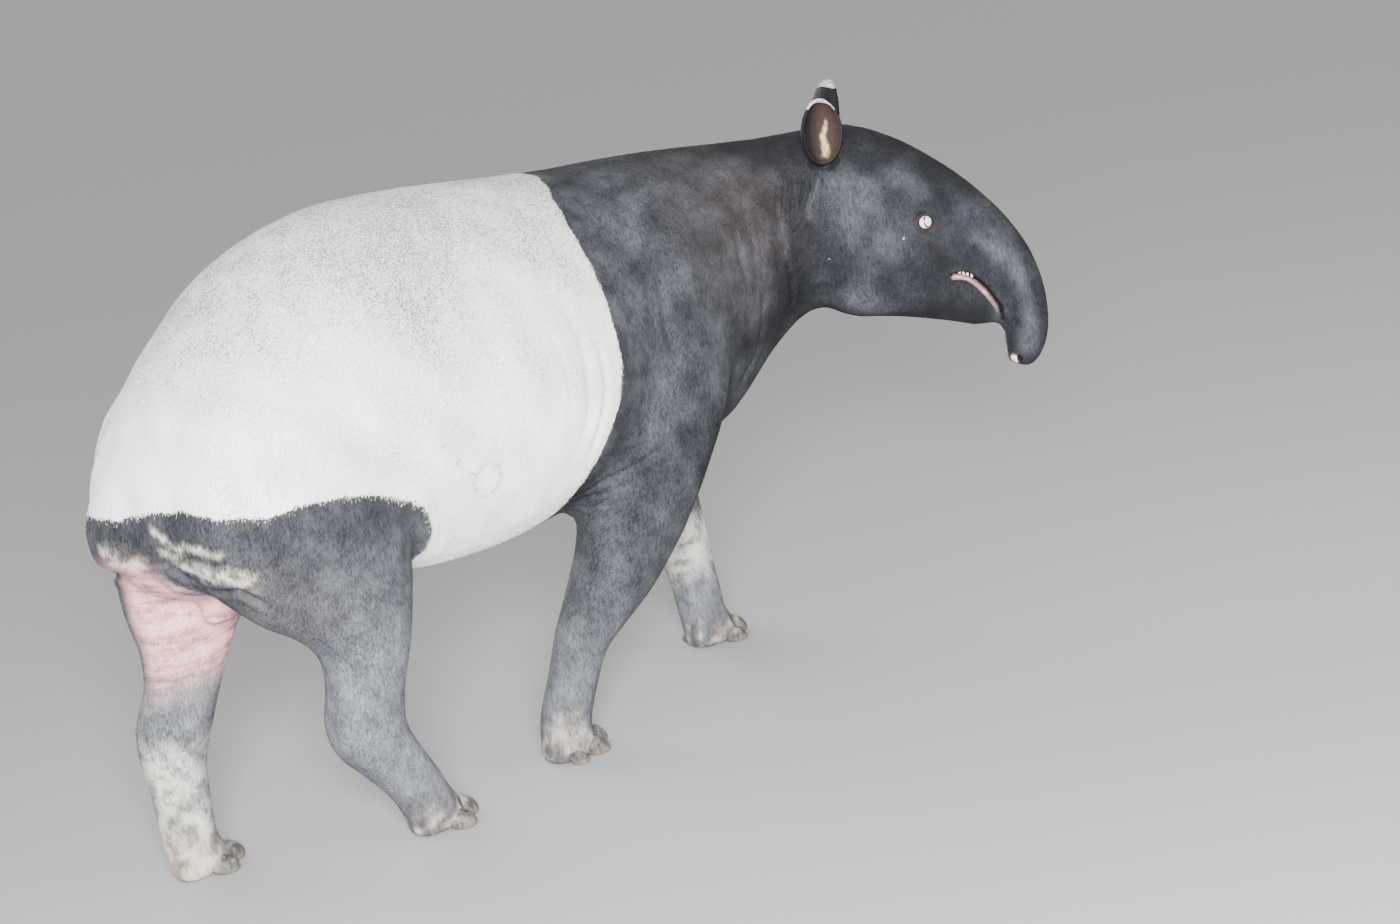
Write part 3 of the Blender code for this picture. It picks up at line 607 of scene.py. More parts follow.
for word in eyes_at:
    ring, radius, along, across, rise = eye_place(points, word)
    near = (along > -0.004) & (ring < LID_RINGS)
    ball_face = np.sqrt(np.clip(EYE_RADIUS**2 - radius**2, 0, None))
    inside = ball_face - LID_SINK
    rim = np.sqrt(max(EYE_RADIUS**2 - (LID_OPENING[0] * 1.02) ** 2, 0)) + LID_LIP
    crest = rim - LID_FALL * np.clip(ring - 1.15, 0, 2)
    target = inside + (crest - inside) * smooth_step(0.93, 1.10, ring)
    keep = smooth_step(1.25, 2.5, ring)
    at_ring, width, deep = UPPER_FOLD
    fold_above = mound(ring, at_ring, width) * smooth_step(-0.004, 0.006, rise) * deep
    at_ring, width, deep = LOWER_FOLD
    fold_below = mound(ring, at_ring, width) * smooth_step(-0.003, 0.005, -rise) * deep
    new_along = target * (1 - keep) + along * keep - fold_above - fold_below
    shift = np.where(near, new_along - along, 0.0)
    points += shift[:, None] * eye_axes[word][1]

# %% Lips round the gap, and the nostrils
GAPE = [0.0020, 0.0060, 0.0075, 0.0070, 0.0065, 0.0060, 0.0060, 0.0055, 0.0045]
MOUTH_DEPTH = 0.020
LIP_FROM_GAP = 0.0045
MOUTH_FROM = 1.45
MOUTH_TO = 1.575
MOUTH_LOWEST = 0.50
LIP_WIDTH = 0.0035
LIP_ROLL = 0.0022
NOSTRIL_SHAPE = (0.0056, 0.0065, 0.0100)
NOSTRIL_DEPTH = 0.010
NOSTRIL_RIM = 0.0016
LOWEST_SKIN = 0.0003


def folded(where):
    """Places of the straight animal, with its right half laid over its left."""
    return np.stack([where[:, 0], np.abs(where[:, 1]), where[:, 2]], 1)


def by_mouth(where):
    """Whether each place is on the front of the muzzle, where the mouth is."""
    return (where[:, 0] > MOUTH_FROM) & (where[:, 0] < MOUTH_TO) & (where[:, 2] > MOUTH_LOWEST)


def mouth_place(where):
    """How far each place is above the mouth's middle line, half the gap there, and its way along the line."""
    line = np.array(MOUTH)
    gap, at = distance_to_path(where[:, [0, 2]], line)
    height = np.interp(where[:, 0], line[:, 0], line[:, 1])
    half = np.interp(at * (len(line) - 1), range(len(line)), GAPE) / 2
    above = np.where(where[:, 2] > height, gap, -gap)
    return above, half, at


where, turn = straight(points)
above, half, at = mouth_place(where)
side_on = smooth_step(0.012, 0.026, np.abs(where[:, 1]))
part_way = smooth_step(0.0, 0.05, at)
gap_shape = falling(0.55, 1.25, np.abs(above) / np.maximum(half, 1e-4))
lip = mound(np.abs(above) - half, LIP_FROM_GAP, LIP_WIDTH) * part_way
inward = -MOUTH_DEPTH * gap_shape * part_way * side_on + LIP_ROLL * lip * side_on
in_mouth = (at > 0) & (np.abs(above) < 0.02) & (where[:, 0] < MOUTH_TO)
sideways = np.sign(where[:, 1]) * np.where(in_mouth, inward, 0.0)
points[:, 0] += sideways * np.sin(turn)
points[:, 1] += sideways * np.cos(turn)

move_points(hide.data, points)
normals = normals_of(hide.data)
where, _ = straight(points)


def nostril_reach(where):
    away = (where - np.array(NOSTRIL)) / np.array(NOSTRIL_SHAPE)
    other = (where - np.array(NOSTRIL) * (1, -1, 1)) / np.array(NOSTRIL_SHAPE)
    return np.sqrt(np.minimum((away**2).sum(1), (other**2).sum(1)))


reach = nostril_reach(where)
points -= (NOSTRIL_DEPTH * falling(0.35, 1.05, reach))[:, None] * normals
points += (NOSTRIL_RIM * mound(reach, 1.3, 0.3))[:, None] * normals
points[:, 2] = np.maximum(points[:, 2], LOWEST_SKIN)
move_points(hide.data, points)
pit_floor = np.abs(straight(points[reach.argmin()][None])[0][0])


def pit_reach(where):
    """How far each place is from the line down a nostril, 1 at its wall."""
    line = np.array([NOSTRIL, pit_floor]) / np.array(NOSTRIL_SHAPE)
    return distance_to_path(folded(where) / np.array(NOSTRIL_SHAPE), line)[0]


print("head features carved")

# %% [markdown]
# ## Ears
# Each ear is an upright oval cup, stiff and rounded at the top. Copies of the solid cups are rounded off
# and then grown together with the hide, so that no seam is left at the root.

# %% Ears grown together with the hide
EAR_VOXEL = 0.0025
ROOT_REACH = 0.009
ROOT_DROP = 0.03
ROOT_SMOOTHING = 8

hide_tree = BVHTree.FromObject(hide, bpy.context.evaluated_depsgraph_get())
ear_trees = []
for word in ("left", "right"):
    ear = copy_of("ear_" + word, "ear_copy")
    apply(ear, "REMESH", mode="VOXEL", voxel_size=EAR_VOXEL)
    apply(ear, "SMOOTH", factor=0.5, iterations=4)
    ear_trees.append(BVHTree.FromObject(ear, bpy.context.evaluated_depsgraph_get()))
    apply(hide, "BOOLEAN", object=ear, operation="UNION", solver="MANIFOLD")
    bpy.data.objects.remove(ear)
points = world_points(hide.data)
roots_from = min(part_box("ear_left")[0].z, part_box("ear_right")[0].z) - ROOT_DROP
close = np.zeros(len(points), bool)
for i in np.flatnonzero(points[:, 2] > roots_from):
    spot = Vector(points[i])
    off_hide = hide_tree.find_nearest(spot, ROOT_REACH)[3]
    off_ear = min((t.find_nearest(spot, ROOT_REACH)[3] or 1.0) for t in ear_trees)
    close[i] = off_hide is not None and off_ear < ROOT_REACH
edit_chosen(hide, "VERT", hide.data.vertices, close)
bpy.ops.mesh.vertices_smooth(factor=0.5, repeat=ROOT_SMOOTHING)
bpy.ops.object.mode_set(mode="OBJECT")
triangles = sum(len(face.vertices) - 2 for face in hide.data.polygons)
print("with ears:", triangles, "triangles;", int(close.sum()), "points smoothed at the roots")

# %% [markdown]
# ## Markings
# A Malayan tapir is black with a white saddle that runs from behind the shoulders over the rump and under
# the belly. The edge is crisp to the eye, but made of single hairs. Its dark parts are never one tone: the
# legs look ash grey, the crown and the back are painted nearly black as shade, bare skin shows pink inside
# the thighs, and mud dries on the feet and buttocks. Painted shade also greys the top of the saddle and
# darkens the hollows, the ears' cups, the mouth's gap, the nostrils and the underside of the neck, and a
# painted sheen lightens the bones of the face and the trunk. Each marking is a formula of the place on the
# straight animal, so hide and hair can share it.

# %% Markings as formulas of the place
EAR_MIDDLE = {"left": (1.286, 0.104, 0.951), "right": (1.261, -0.104, 0.936)}
EAR_RADII = {"left": (0.047, 0.022, 0.063), "right": (0.051, 0.026, 0.063)}
EAR_TURN = {"left": math.radians(71), "right": math.radians(12)}
EAR_LEAN = math.radians(8)
EAR_TIP_FORWARD = math.radians(9)
# Each row below is the width of a soft streak and its path on the straight animal, in millimetres.
GRIME_PATHS = [
    (21, [(-221, -114, 579), (-205, -132, 559), (-195, -156, 546), (-176, -188, 538), (-150, -207, 524)]),
    (8, [(-235, -100, 627), (-226, -115, 609), (-218, -122, 587)]),
    (11, [(-218, -122, 587), (-203, -160, 589), (-181, -192, 573)]),
    (18, [(-282, -25, 599), (-270, -31, 575), (-254, -34, 562), (-243, -59, 569)]),
]
# Painted sheen: pale streaks over the brow, the cheeks, the jaw, the trunk and the folds of the neck.
SHEEN_PATHS = [
    (20, [(1388, 76, 826), (1408, 72, 818), (1430, 74, 797)]),
    (36, [(1287, 97, 843), (1301, 105, 795), (1302, 108, 762)]),
    (26, [(1332, 94, 821), (1345, 104, 747), (1360, 104, 698)]),
    (17, [(1511, 60, 689), (1553, 50, 656), (1580, 46, 613), (1592, 43, 567), (1591, 40, 513),
          (1577, 38, 474)]),
    (40, [(1270, 92, 620), (1320, 74, 590)]),
    (9, [(1240, 103, 850), (1215, 113, 822), (1196, 120, 796)]),
    (14, [(1122, 128, 815), (1118, 135, 775), (1110, 137, 735)]),
]
# Painted shade: dark streaks in the hollow before the eye, under the cheek, under the chin, under the ear and
# at the tail's root.
PAINTED_SHADE_PATHS = [
    (18, [(1462, 60, 790), (1472, 62, 768)]),
    (22, [(1452, 70, 655), (1440, 80, 685)]),
    (24, [(1500, 30, 545), (1470, 40, 560), (1430, 50, 570)]),
    (16, [(1262, 95, 872), (1275, 95, 868)]),
    (13, [(-266, 45, 630), (-264, 45, 620)]),
]
THIGH_PATHS = [(35, [(-130, -200, 500), (-50, -200, 440)])]
LID_STAINS = [(-0.006, 0.016, 0.015, 0.009, 0.75), (0.015, -0.011, 0.013, 0.012, 0.10)]
NOSTRIL_PAD = (1.5515, 0.023, 0.444)
NOSTRIL_PAD_SHAPE = (0.012, 0.015, 0.012)
# Painted shade low on the side of the neck, from the breast to behind the jaw.
SHADE_PATHS = [(55, [(930, 165, 600), (1050, 120, 610), (1110, 118, 650)])]
# Painted shade: a grey band down the hollow of the flank, in front of the hip.
HOLLOW_SHADE_PATHS = [(50, [(244, 110, 986), (221, 203, 880), (230, 252, 748), (254, 255, 628)])]
FOOT_MUD = [(0.400, -0.128, 0.055, 0.045)]


def ripple(points, size, seed):
    """A cheap, smooth, seeded noise between about -1 and 1."""
    draw = np.random.default_rng(seed)
    total = np.zeros(len(points))
    for _ in range(6):
        way = draw.normal(size=3)
        way *= draw.uniform(0.7, 1.5) / (size * np.linalg.norm(way))
        total += np.sin(points @ way * math.tau + draw.uniform(0, math.tau))
    return total / 3


def along_paths(where, paths):
    """1 on any of the paths, which are in millimetres, and falling off around them."""
    out = np.zeros(len(where))
    for width, path in paths:
        gap = distance_to_path(where, np.array(metres(path)))[0]
        out = np.maximum(out, np.exp(-((gap / (width / 1000)) ** 2)))
    return out


def at_spots(where, spots):
    out = np.zeros(len(where))
    for x, y, z, size in spots:
        gap = np.linalg.norm(where - np.array((x, y, z)), axis=1)
        out = np.maximum(out, falling(0.5, 1.4, gap / size))
    return out


def ear_place(where, word):
    """Places in an ear's own directions: ahead, out and up, in shares of its half sizes."""
    side = 1 if word == "left" else -1
    lean = Matrix.Rotation(-EAR_LEAN * side, 3, "X") @ Matrix.Rotation(EAR_TIP_FORWARD, 3, "Y")
    lean = np.array(lean @ Matrix.Rotation(-EAR_TURN[word] * side, 3, "Z"))
    local = (where - np.array(EAR_MIDDLE[word])) @ lean
    local[:, 1] *= side
    return local / np.array(EAR_RADII[word])


# The saddle's edge seen from the side: over the rump, down the thigh, under the belly and up behind the
# shoulder.
SADDLE = metres([
    (-400, 655), (-290, 652), (-275, 649), (-257, 641), (-237, 645), (-218, 649), (-203, 645), (-177, 630),
    (-148, 622), (-115, 615), (-77, 618), (-36, 617), (7, 610), (53, 598), (105, 580), (149, 559),
    (172, 539), (189, 511), (197, 486), (195, 463), (186, 440), (175, 410), (160, 330), (410, 330),
    (434, 375), (465, 420), (516, 500), (570, 600), (592, 660), (593, 900), (606, 940), (632, 980),
    (660, 1200), (-400, 1200),
])
LEFT_LEG_BACK = 0.16
SADDLE_BLUR = 0.012
HIND_TO_FORE = (0.26, 0.34)
FORE_TO_NECK = (1.02, 1.10)
TRUNK_FROM = 1.50


def saddle_edge(where):
    """Metres inside the white saddle, negative in the dark parts."""
    x, y, z = where.T
    leg_back = LEFT_LEG_BACK * np.clip((0.60 - z) / 0.2, 0, 1) * smooth_step(-0.03, 0.03, y)
    x = x + leg_back * falling(0.20, 0.40, x)
    inside = np.zeros(len(x), bool)
    for (ax, az), (bx, bz) in zip(SADDLE, SADDLE[1:] + SADDLE[:1]):
        if az != bz:
            inside ^= ((az > z) != (bz > z)) & (x < ax + (bx - ax) * (z - az) / (bz - az))
    gap = distance_to_path(np.stack([x, z], 1), np.array(SADDLE + SADDLE[:1]))[0]
    return np.where(inside, gap, -gap)


def quarters(x):
    """How much each place belongs to the hind quarters, and how much to the fore quarters."""
    return falling(*HIND_TO_FORE, x), smooth_step(*HIND_TO_FORE, x) * falling(*FORE_TO_NECK, x)


def saddle_marks(points, where):
    """The white saddle, with its grey hairs, painted shade towards its top and in the flank's hollow, the
    scar and the scratch.
    """
    x, y, z = where.T
    edge = saddle_edge(where) + 0.0025 * ripple(points, 0.05, 3) + 0.0015 * ripple(points, 0.014, 4)
    # Greyer towards the top of the back: partly grey hairs, partly painted shade.
    grey = 0.14 + 0.80 * smooth_step(0.68, 0.96, z) - 0.16 * falling(0.58, 0.68, z)
    grey += 0.16 * ripple(points, 0.26, 8) + 0.13 * ripple(points, 0.08, 15)
    # Painted shade in the hollow of the flank.
    grey += 0.30 * along_paths(folded(where), HOLLOW_SHADE_PATHS)
    ring = np.hypot((x - SCAR_MIDDLE[0]) / SCAR_RADII[0], (z - SCAR_MIDDLE[2]) / SCAR_RADII[1])
    scratch = distance_to_path(where[:, [0, 2]], np.array(SCRATCH))[0]
    scar = np.maximum(falling(0.04, 0.20, np.abs(ring - 1)), falling(0.001, 0.004, scratch))
    scar = scar * (0.62 + 0.35 * ripple(points, 0.02, 9))
    grey = np.maximum(grey, np.where(y < -0.1, scar, 0))
    return smooth_step(-SADDLE_BLUR, SADDLE_BLUR, edge), grey


def ash_and_sheen(points, where):
    """Ash grey in the dark parts, palest down the legs; painted sheen on the head, painted shade under it."""
    x, y, z = where.T
    hind, fore = quarters(x)
    pale = hind * falling(0.32, 0.58, z) * 0.70 + hind * 0.20
    pale += fore * falling(0.08, 0.42, z) * 0.57 + fore * 0.22
    # Painted sheen: the trunk is made paler.
    pale += smooth_step(1.46, 1.56, x) * 0.06 - fore * falling(0.45, 0.60, z) * 0.06
    pale += fore * smooth_step(0.92, 1.00, x) * smooth_step(0.68, 0.78, z) * 0.06
    pale += fore * smooth_step(0.0, 0.04, y) * falling(0.30, 0.44, z) * 0.60
    # The head is a little paler; painted shade darkens it low down, under the jaw and on the throat.
    pale += smooth_step(1.22, 1.32, x) * 0.03 - 0.06 * smooth_step(0.62, 0.58, z) * (x > 1.15)
    # Painted sheen along the sheen paths.
    pale += along_paths(folded(where), SHEEN_PATHS) * 0.28 + 0.10 * ripple(points, 0.10, 5)
    return pale


def painted_shade_and_scabs(where):
    """The nearly black parts: painted shade along the crest, low on the neck and in hollows, and the scabs.
    """
    x, y, z = where.T
    # Painted shade: the top of the neck, the withers and the crown are darkened.
    crest = falling(0.03, 0.10, np.abs(y))
    dark = crest * smooth_step(0.72, 0.80, z) * smooth_step(0.58, 0.70, x) * 0.45
    dark = np.maximum(dark, along_paths(folded(where), SHADE_PATHS) * 0.72)
    dark = np.maximum(dark, along_paths(folded(where), PAINTED_SHADE_PATHS) * 0.70)
    return np.maximum(dark, 0.8 * at_spots(where, SCABS))


def pink_marks(where):
    """Bare skin inside the thighs."""
    x, y, z = where.T
    inner = falling(0.075, 0.125, np.where(x > -0.05, np.abs(y), np.abs(y - 0.03)))
    return inner * smooth_step(0.28, 0.38, z) * falling(0.52, 0.60, z) * falling(0.06, 0.16, x)


def brown_marks(where):
    """A brown cast on the neck, the thigh and the feet."""
    x, _, z = where.T
    brown = 0.34 * falling(0.03, 0.27, np.hypot(x - 0.99, z - 0.83))
    brown = np.maximum(brown, 0.50 * along_paths(where, THIGH_PATHS))
    return np.maximum(brown, 0.35 * falling(0.03, 0.10, z))


def mud_marks(points, where):
    """Dried mud on the buttock, the feet and the left legs, and the pale specks."""
    x, y, z = where.T
    hind, fore = quarters(x)
    mud = along_paths(where, GRIME_PATHS) * (0.56 + 0.22 * ripple(points, 0.02, 6))
    mud = np.maximum(mud, 0.46 * at_spots(where, FOOT_MUD))
    mud = np.maximum(mud, falling(0.020, 0.095, z) * (0.36 + 0.28 * ripple(points, 0.03, 7)))
    mud = np.maximum(mud, at_spots(where, PALE_SPECKS))
    left_leg = smooth_step(0.02, 0.06, y)
    cloud = 1 + 0.18 * ripple(points, 0.05, 14)
    back = 0.20 * falling(-0.22, -0.15, x) + 0.46
    mud = np.maximum(mud, back * falling(0.18, 0.32, z) * left_leg * hind * cloud)
    return np.maximum(mud, 0.72 * mound(z, 0.215, 0.085) * left_leg * fore * cloud)


def at_least(shares, name, amount):
    shares[name] = np.maximum(shares[name], amount)


def mark_eyes(shares, points):
    """Dark lids, with a dark stain above each eye and a fainter brown one below it, towards the muzzle."""
    for word in eyes_at:
        ring, _, out, across, rise = eye_place(points, word)
        near = (out > -0.02) & (ring < 5)
        at_least(shares, "brown", np.where(near, 0.8 * falling(1.15, 1.65, ring), 0))
        for off, lift, wide, tall, depth in LID_STAINS:
            reach = np.hypot((across - off) / wide, (rise - lift) / tall)
            stain = np.where(near, falling(0.2, 1.3, reach), 0)
            at_least(shares, "brown", 0.40 * stain)
            at_least(shares, "dark", depth * stain)
        at_least(shares, "dark", np.where(near, 0.75 * falling(1.15, 1.55, ring), 0))


def mark_mouth(shares, points, where):
    """The pink lower lip, and painted shade in the gap between the lips."""
    above, half, at = mouth_place(where)
    front = by_mouth(where)
    lip = falling(0.0085, 0.0115, -above)
    lip = lip * smooth_step(-0.0005, 0.0015, -above - half * 0.6) * smooth_step(0.02, 0.07, at)
    lip = lip * (1 - 0.65 * smooth_step(0.50, 0.64, at)) * falling(0.72, 0.88, at)
    lip = lip * (0.85 + 0.2 * ripple(points, 0.006, 12))
    at_least(shares, "pink", np.where(front, lip, 0))
    # Painted shade: the gap between the lips is darkened.
    between = falling(0.6, 1.0, np.abs(above) / np.maximum(half, 1e-4))
    between = np.where(front & (at > 0.03), between, 0)
    at_least(shares, "dark", between)
    shares["pink"] = shares["pink"] * (1 - between)


def mark_trunk_tip(shares, where):
    """The pale pad round each nostril, painted shade in its pit, and the pale rear edge of the trunk's tip.
    """
    x, y, z = where.T
    trunk = x > TRUNK_FROM
    tip = falling(0.455, 0.470, z) * trunk
    pad = np.linalg.norm((folded(where) - np.array(NOSTRIL_PAD)) / np.array(NOSTRIL_PAD_SHAPE), axis=1)
    at_least(shares, "pink", tip * falling(0.6, 1.15, pad) * 0.20)
    at_least(shares, "saddle", 0.85 * tip * falling(0.5, 1.0, pad))
    # Painted shade: the nostril's pit is darkened.
    pit = trunk * falling(0.70, 1.05, pit_reach(where))
    shares["pink"] = shares["pink"] * (1 - pit)
    shares["saddle"] = shares["saddle"] * (1 - pit)
    at_least(shares, "dark", pit)
    edge = trunk * mound(x, 1.540, 0.003) * (z < 0.50) * (np.abs(y) < 0.010)
    at_least(shares, "saddle", 0.50 * edge * (1 - pit))
    at_least(shares, "pink", 0.25 * edge * (1 - pit))


def mark_ears(shares, points, normals, where):
    """White tips and dark backs, a cream streak down the brown inside, and painted shade in the cup's hind
    part.
    """
    for word in EAR_MIDDLE:
        ear = ear_place(where, word)
        size = np.linalg.norm(ear, axis=1)
        on_ear = (size < 1.25) & (ear[:, 2] > -1.12)
        away = points - np.array(place(*EAR_MIDDLE[word]))
        facing = (away * normals).sum(1) / np.maximum(np.linalg.norm(away, axis=1), 1e-4)
        inside = np.where(on_ear & (size < 1.03), falling(-0.10, 0.25, facing), 0)
        arch = ear[:, 2] + 0.25 * ear[:, 0] ** 2
        white = smooth_step(0.74, 0.82, arch) * (1 - inside * falling(0.84, 0.90, arch))
        bend = 0.33 + 0.12 * ear[:, 2] + 0.05 * np.sin(9 * ear[:, 2])
        streak = mound(ear[:, 0], bend, np.maximum(0.13 - 0.13 * ear[:, 2], 0.06)) * inside
        streak *= smooth_step(-0.90, -0.60, ear[:, 2]) * falling(0.0, 0.60, ear[:, 2])
        # Painted shade deep in the hind part of the cup.
        shadow = 0.90 * inside * falling(-0.60, 0.35, ear[:, 0])
        ear_shares = {
            "saddle": white,
            "brown": inside * 0.95,
            "pale": 0.15 * inside,
            "mud": streak * (0.80 + 0.18 * ripple(points, 0.010, 16)),
            "dark": np.maximum((1 - inside) * 0.85, shadow) * (1 - white),
            "pink": 0.0,
        }
        for name, share in ear_shares.items():
            shares[name] = np.where(on_ear, share, shares[name])


def markings(points, normals):
    """The share of each marking at every point."""
    where, _ = straight(points)
    saddle, grey = saddle_marks(points, where)
    shares = {
        "saddle": saddle,
        "grey": grey,
        "pale": ash_and_sheen(points, where),
        "dark": painted_shade_and_scabs(where),
        "brown": brown_marks(where),
        "pink": pink_marks(where),
        "mud": mud_marks(points, where),
    }
    mark_eyes(shares, points)
    mark_mouth(shares, points, where)
    mark_trunk_tip(shares, where)
    mark_ears(shares, points, normals, where)
    return {name: np.clip(share, 0, 1) for name, share in shares.items()}


def write_attribute(mesh, name, values):
    layer = mesh.attributes.new(name, "FLOAT", "POINT")
    layer.data.foreach_set("value", np.asarray(values, np.float32))


marks = markings(world_points(hide.data), normals_of(hide.data))
for name, share in marks.items():
    write_attribute(hide.data, name, share)
    print(f"{name}: covers {share.mean():.2f}")

# %% [markdown]
# ## Materials
# One small class writes shader nodes as sums. The hide and the hair share a function, so their markings
# match.

# %% A short way to write shader nodes
class Socket:
    """A node's output that can be added, multiplied and so on."""

    def __init__(self, tree, output):
        self.tree = tree
        self.output = output

    def math(self, operation, other, turned=False):
        node = self.tree.nodes.new("ShaderNodeMath")
        node.operation = operation
        for number, value in zip((1, 0) if turned else (0, 1), (self, other)):
            plug_in(self.tree, node.inputs[number], value)
        return Socket(self.tree, node.outputs[0])

    def __add__(self, other):
        return self.math("ADD", other)

    def __radd__(self, other):
        return self.math("ADD", other, True)

    def __sub__(self, other):
        return self.math("SUBTRACT", other)

    def __rsub__(self, other):
        return self.math("SUBTRACT", other, True)

    def __mul__(self, other):
        return self.math("MULTIPLY", other)

    def __rmul__(self, other):
        return self.math("MULTIPLY", other, True)

    def __truediv__(self, other):
        return self.math("DIVIDE", other)

    def __rtruediv__(self, other):
        return self.math("DIVIDE", other, True)

    def step(self, low, high, to_low=0.0, to_high=1.0):
        """A smooth ramp between two values."""
        node = self.tree.nodes.new("ShaderNodeMapRange")
        node.interpolation_type = "SMOOTHSTEP"
        for key, value in zip(("From Min", "From Max", "To Min", "To Max"), (low, high, to_low, to_high)):
            node.inputs[key].default_value = value
        self.tree.links.new(self.output, node.inputs["Value"])
        return Socket(self.tree, node.outputs[0])


def plug_in(tree, target, value):
    if isinstance(value, Socket):
        tree.links.new(value.output, target)
    elif isinstance(value, tuple) and len(value) == 3 and target.type == "RGBA":
        target.default_value = (*value, 1.0)
    else:
        target.default_value = value


class Finish:
    """A material and the nodes that feed its shader."""

    def __init__(self, name, roughness, **fixed):
        self.material = bpy.data.materials.new(name)
        self.material.use_nodes = True
        self.tree = self.material.node_tree
        self.shader = self.tree.nodes["Principled BSDF"]
        self.shader.inputs["Roughness"].default_value = roughness
        for key, value in fixed.items():
            self.shader.inputs[key.replace("_", " ")].default_value = value
        self.at = self.node("ShaderNodeTexCoord", {}, {}, "Object")

    def node(self, kind, settings, inputs, output):
        """Any other node: its type, its settings, its inputs by name or identifier, and the output wanted."""
        node = self.tree.nodes.new(kind)
        for key, value in settings.items():
            setattr(node, key, value)
        for key, value in inputs.items():
            target = next(s for s in node.inputs if key in (s.identifier, s.name) and s.enabled)
            plug_in(self.tree, target, value)
        wanted = next(s for s in node.outputs if output in (s.identifier, s.name) and s.enabled)
        return Socket(self.tree, wanted)

    def noise(self, scale, detail=4.0, roughness=0.55, at=None):
        inputs = {"Vector": at or self.at, "Scale": scale, "Detail": detail, "Roughness": roughness}
        return self.node("ShaderNodeTexNoise", {}, inputs, "Fac")

    def stretched(self, scale, turned=(0.0, 0.0, 0.0)):
        inputs = {"Vector": self.at, "Scale": scale, "Rotation": turned}
        return self.node("ShaderNodeMapping", {}, inputs, "Vector")

    def attribute(self, name):
        return self.node("ShaderNodeAttribute", {"attribute_name": name}, {}, "Fac")

    def mix(self, share, first, second, blend="MIX"):
        settings = {"data_type": "RGBA", "blend_type": blend, "clamp_factor": True}
        inputs = {"Factor_Float": share, "A_Color": first, "B_Color": second}
        return self.node("ShaderNodeMix", settings, inputs, "Result_Color")

    def bump(self, height, strength, distance, under=None):
        inputs = {"Height": height, "Strength": strength, "Distance": distance}
        if under:
            inputs["Normal"] = under
        return self.node("ShaderNodeBump", {}, inputs, "Normal")

    def feed(self, **links):
        for key, value in links.items():
            plug_in(self.tree, self.shader.inputs[key.replace("_", " ")], value)
        return self.material


# %% The colours of hide and hair
BLACK = (0.008, 0.008, 0.010)
DARK_LOW = (0.008, 0.009, 0.011)
DARK_HIGH = (0.024, 0.025, 0.030)
ASH_LOW = (0.070, 0.075, 0.087)
ASH_HIGH = (0.205, 0.213, 0.235)
SNOW = (0.920, 0.920, 0.920)
CREAM = (0.740, 0.725, 0.690)
SADDLE_GREY = (0.230, 0.238, 0.255)
SKIN_PINK = (0.790, 0.470, 0.450)
SKIN_ROSE = (0.400, 0.215, 0.210)
BROWN = (0.044, 0.028, 0.023)
MUD_PALE = (0.640, 0.615, 0.555)
MUD_DEEP = (0.330, 0.300, 0.260)
EAR_CREAM = (0.600, 0.430, 0.240)


def hide_colour(finish, loose):
    """The markings as one colour, from the attributes and noise; loose is how much single hairs stray."""
    broad, middle, fine = finish.noise(5.0, 3.0), finish.noise(34.0, 5.0), finish.noise(330.0, 2.0)
    strands = finish.noise(95.0, 4.0, 0.7, finish.stretched((2.4, 2.4, 0.7), (0.0, 0.30, 0.0)))
    patches = finish.noise(13.0, 5.0, 0.62, finish.stretched((1.6, 1.6, 0.7)))
    # The pale share holds the ash grey of the hide, the painted sheen on the head and the painted shade under
    # it.
    pale = finish.attribute("pale")
    pale = pale + (patches - 0.5) * (0.25 + pale * 0.9) + (fine - 0.5) * 0.30
    # The lighter streaks along the hair in the dark and ash parts are partly the hair's own tone, partly
    # painted glints.
    dark = finish.mix((middle * 0.6 + strands * 0.9).step(0.45, 1.05), DARK_LOW, DARK_HIGH)
    ash = finish.mix((middle * 0.7 + strands * 0.9).step(0.50, 1.10), ASH_LOW, ASH_HIGH)
    colour = finish.mix(pale, dark, ash)
    colour = finish.mix(finish.attribute("brown") * (0.5 + broad), colour, BROWN)
    # BLACK covers the black lids, ear backs and scabs, and also the painted shade on the crest, under the
    # neck, in the hollows, the ears' cups, the mouth's gap and the nostrils.
    colour = finish.mix(finish.attribute("dark"), colour, BLACK)
    white = finish.mix((patches * 0.8 + strands * 0.5).step(0.42, 0.82), CREAM, SNOW)
    flecks = (fine * 0.6 + strands * 0.4 + patches * 0.25).step(0.55, 0.78)
    # SADDLE_GREY gives the grey hairs and the scar, and the painted shade at the saddle's top and in the
    # flank's hollow.
    white = finish.mix(finish.attribute("grey") * (0.35 + flecks * 1.1), white, SADDLE_GREY)
    saddle = finish.attribute("saddle")
    stray = (fine - 0.5) * 0.9 + (strands - 0.5) * 0.6
    if loose:
        stray = stray + (finish.attribute("tone") - 0.5) * loose
    edge = saddle + stray * saddle * (1.0 - saddle) * 4.0
    colour = finish.mix(edge.step(0.42, 0.58), colour, white)
    # Rose mottling of the bare skin, with darker lines across it as painted shade of its creases.
    creases = finish.noise(18.0, 3.0, 0.6, finish.stretched((0.6, 0.6, 4.0)))
    skin = finish.mix((middle * 0.4 + creases * 0.8).step(0.44, 0.68), SKIN_ROSE, SKIN_PINK)
    colour = finish.mix(finish.attribute("pink") * (0.8 + 0.4 * broad), colour, skin)
    mud = finish.mix(middle.step(0.36, 0.56), MUD_DEEP, MUD_PALE)
    mud = finish.mix(finish.attribute("brown"), mud, EAR_CREAM)
    cover = finish.attribute("mud") * (strands * 1.3 + middle * 1.0 - 0.15)
    colour = finish.mix(cover.step(0.14, 0.92, 0.0, 0.92), colour, mud)
    return colour, middle, fine, strands


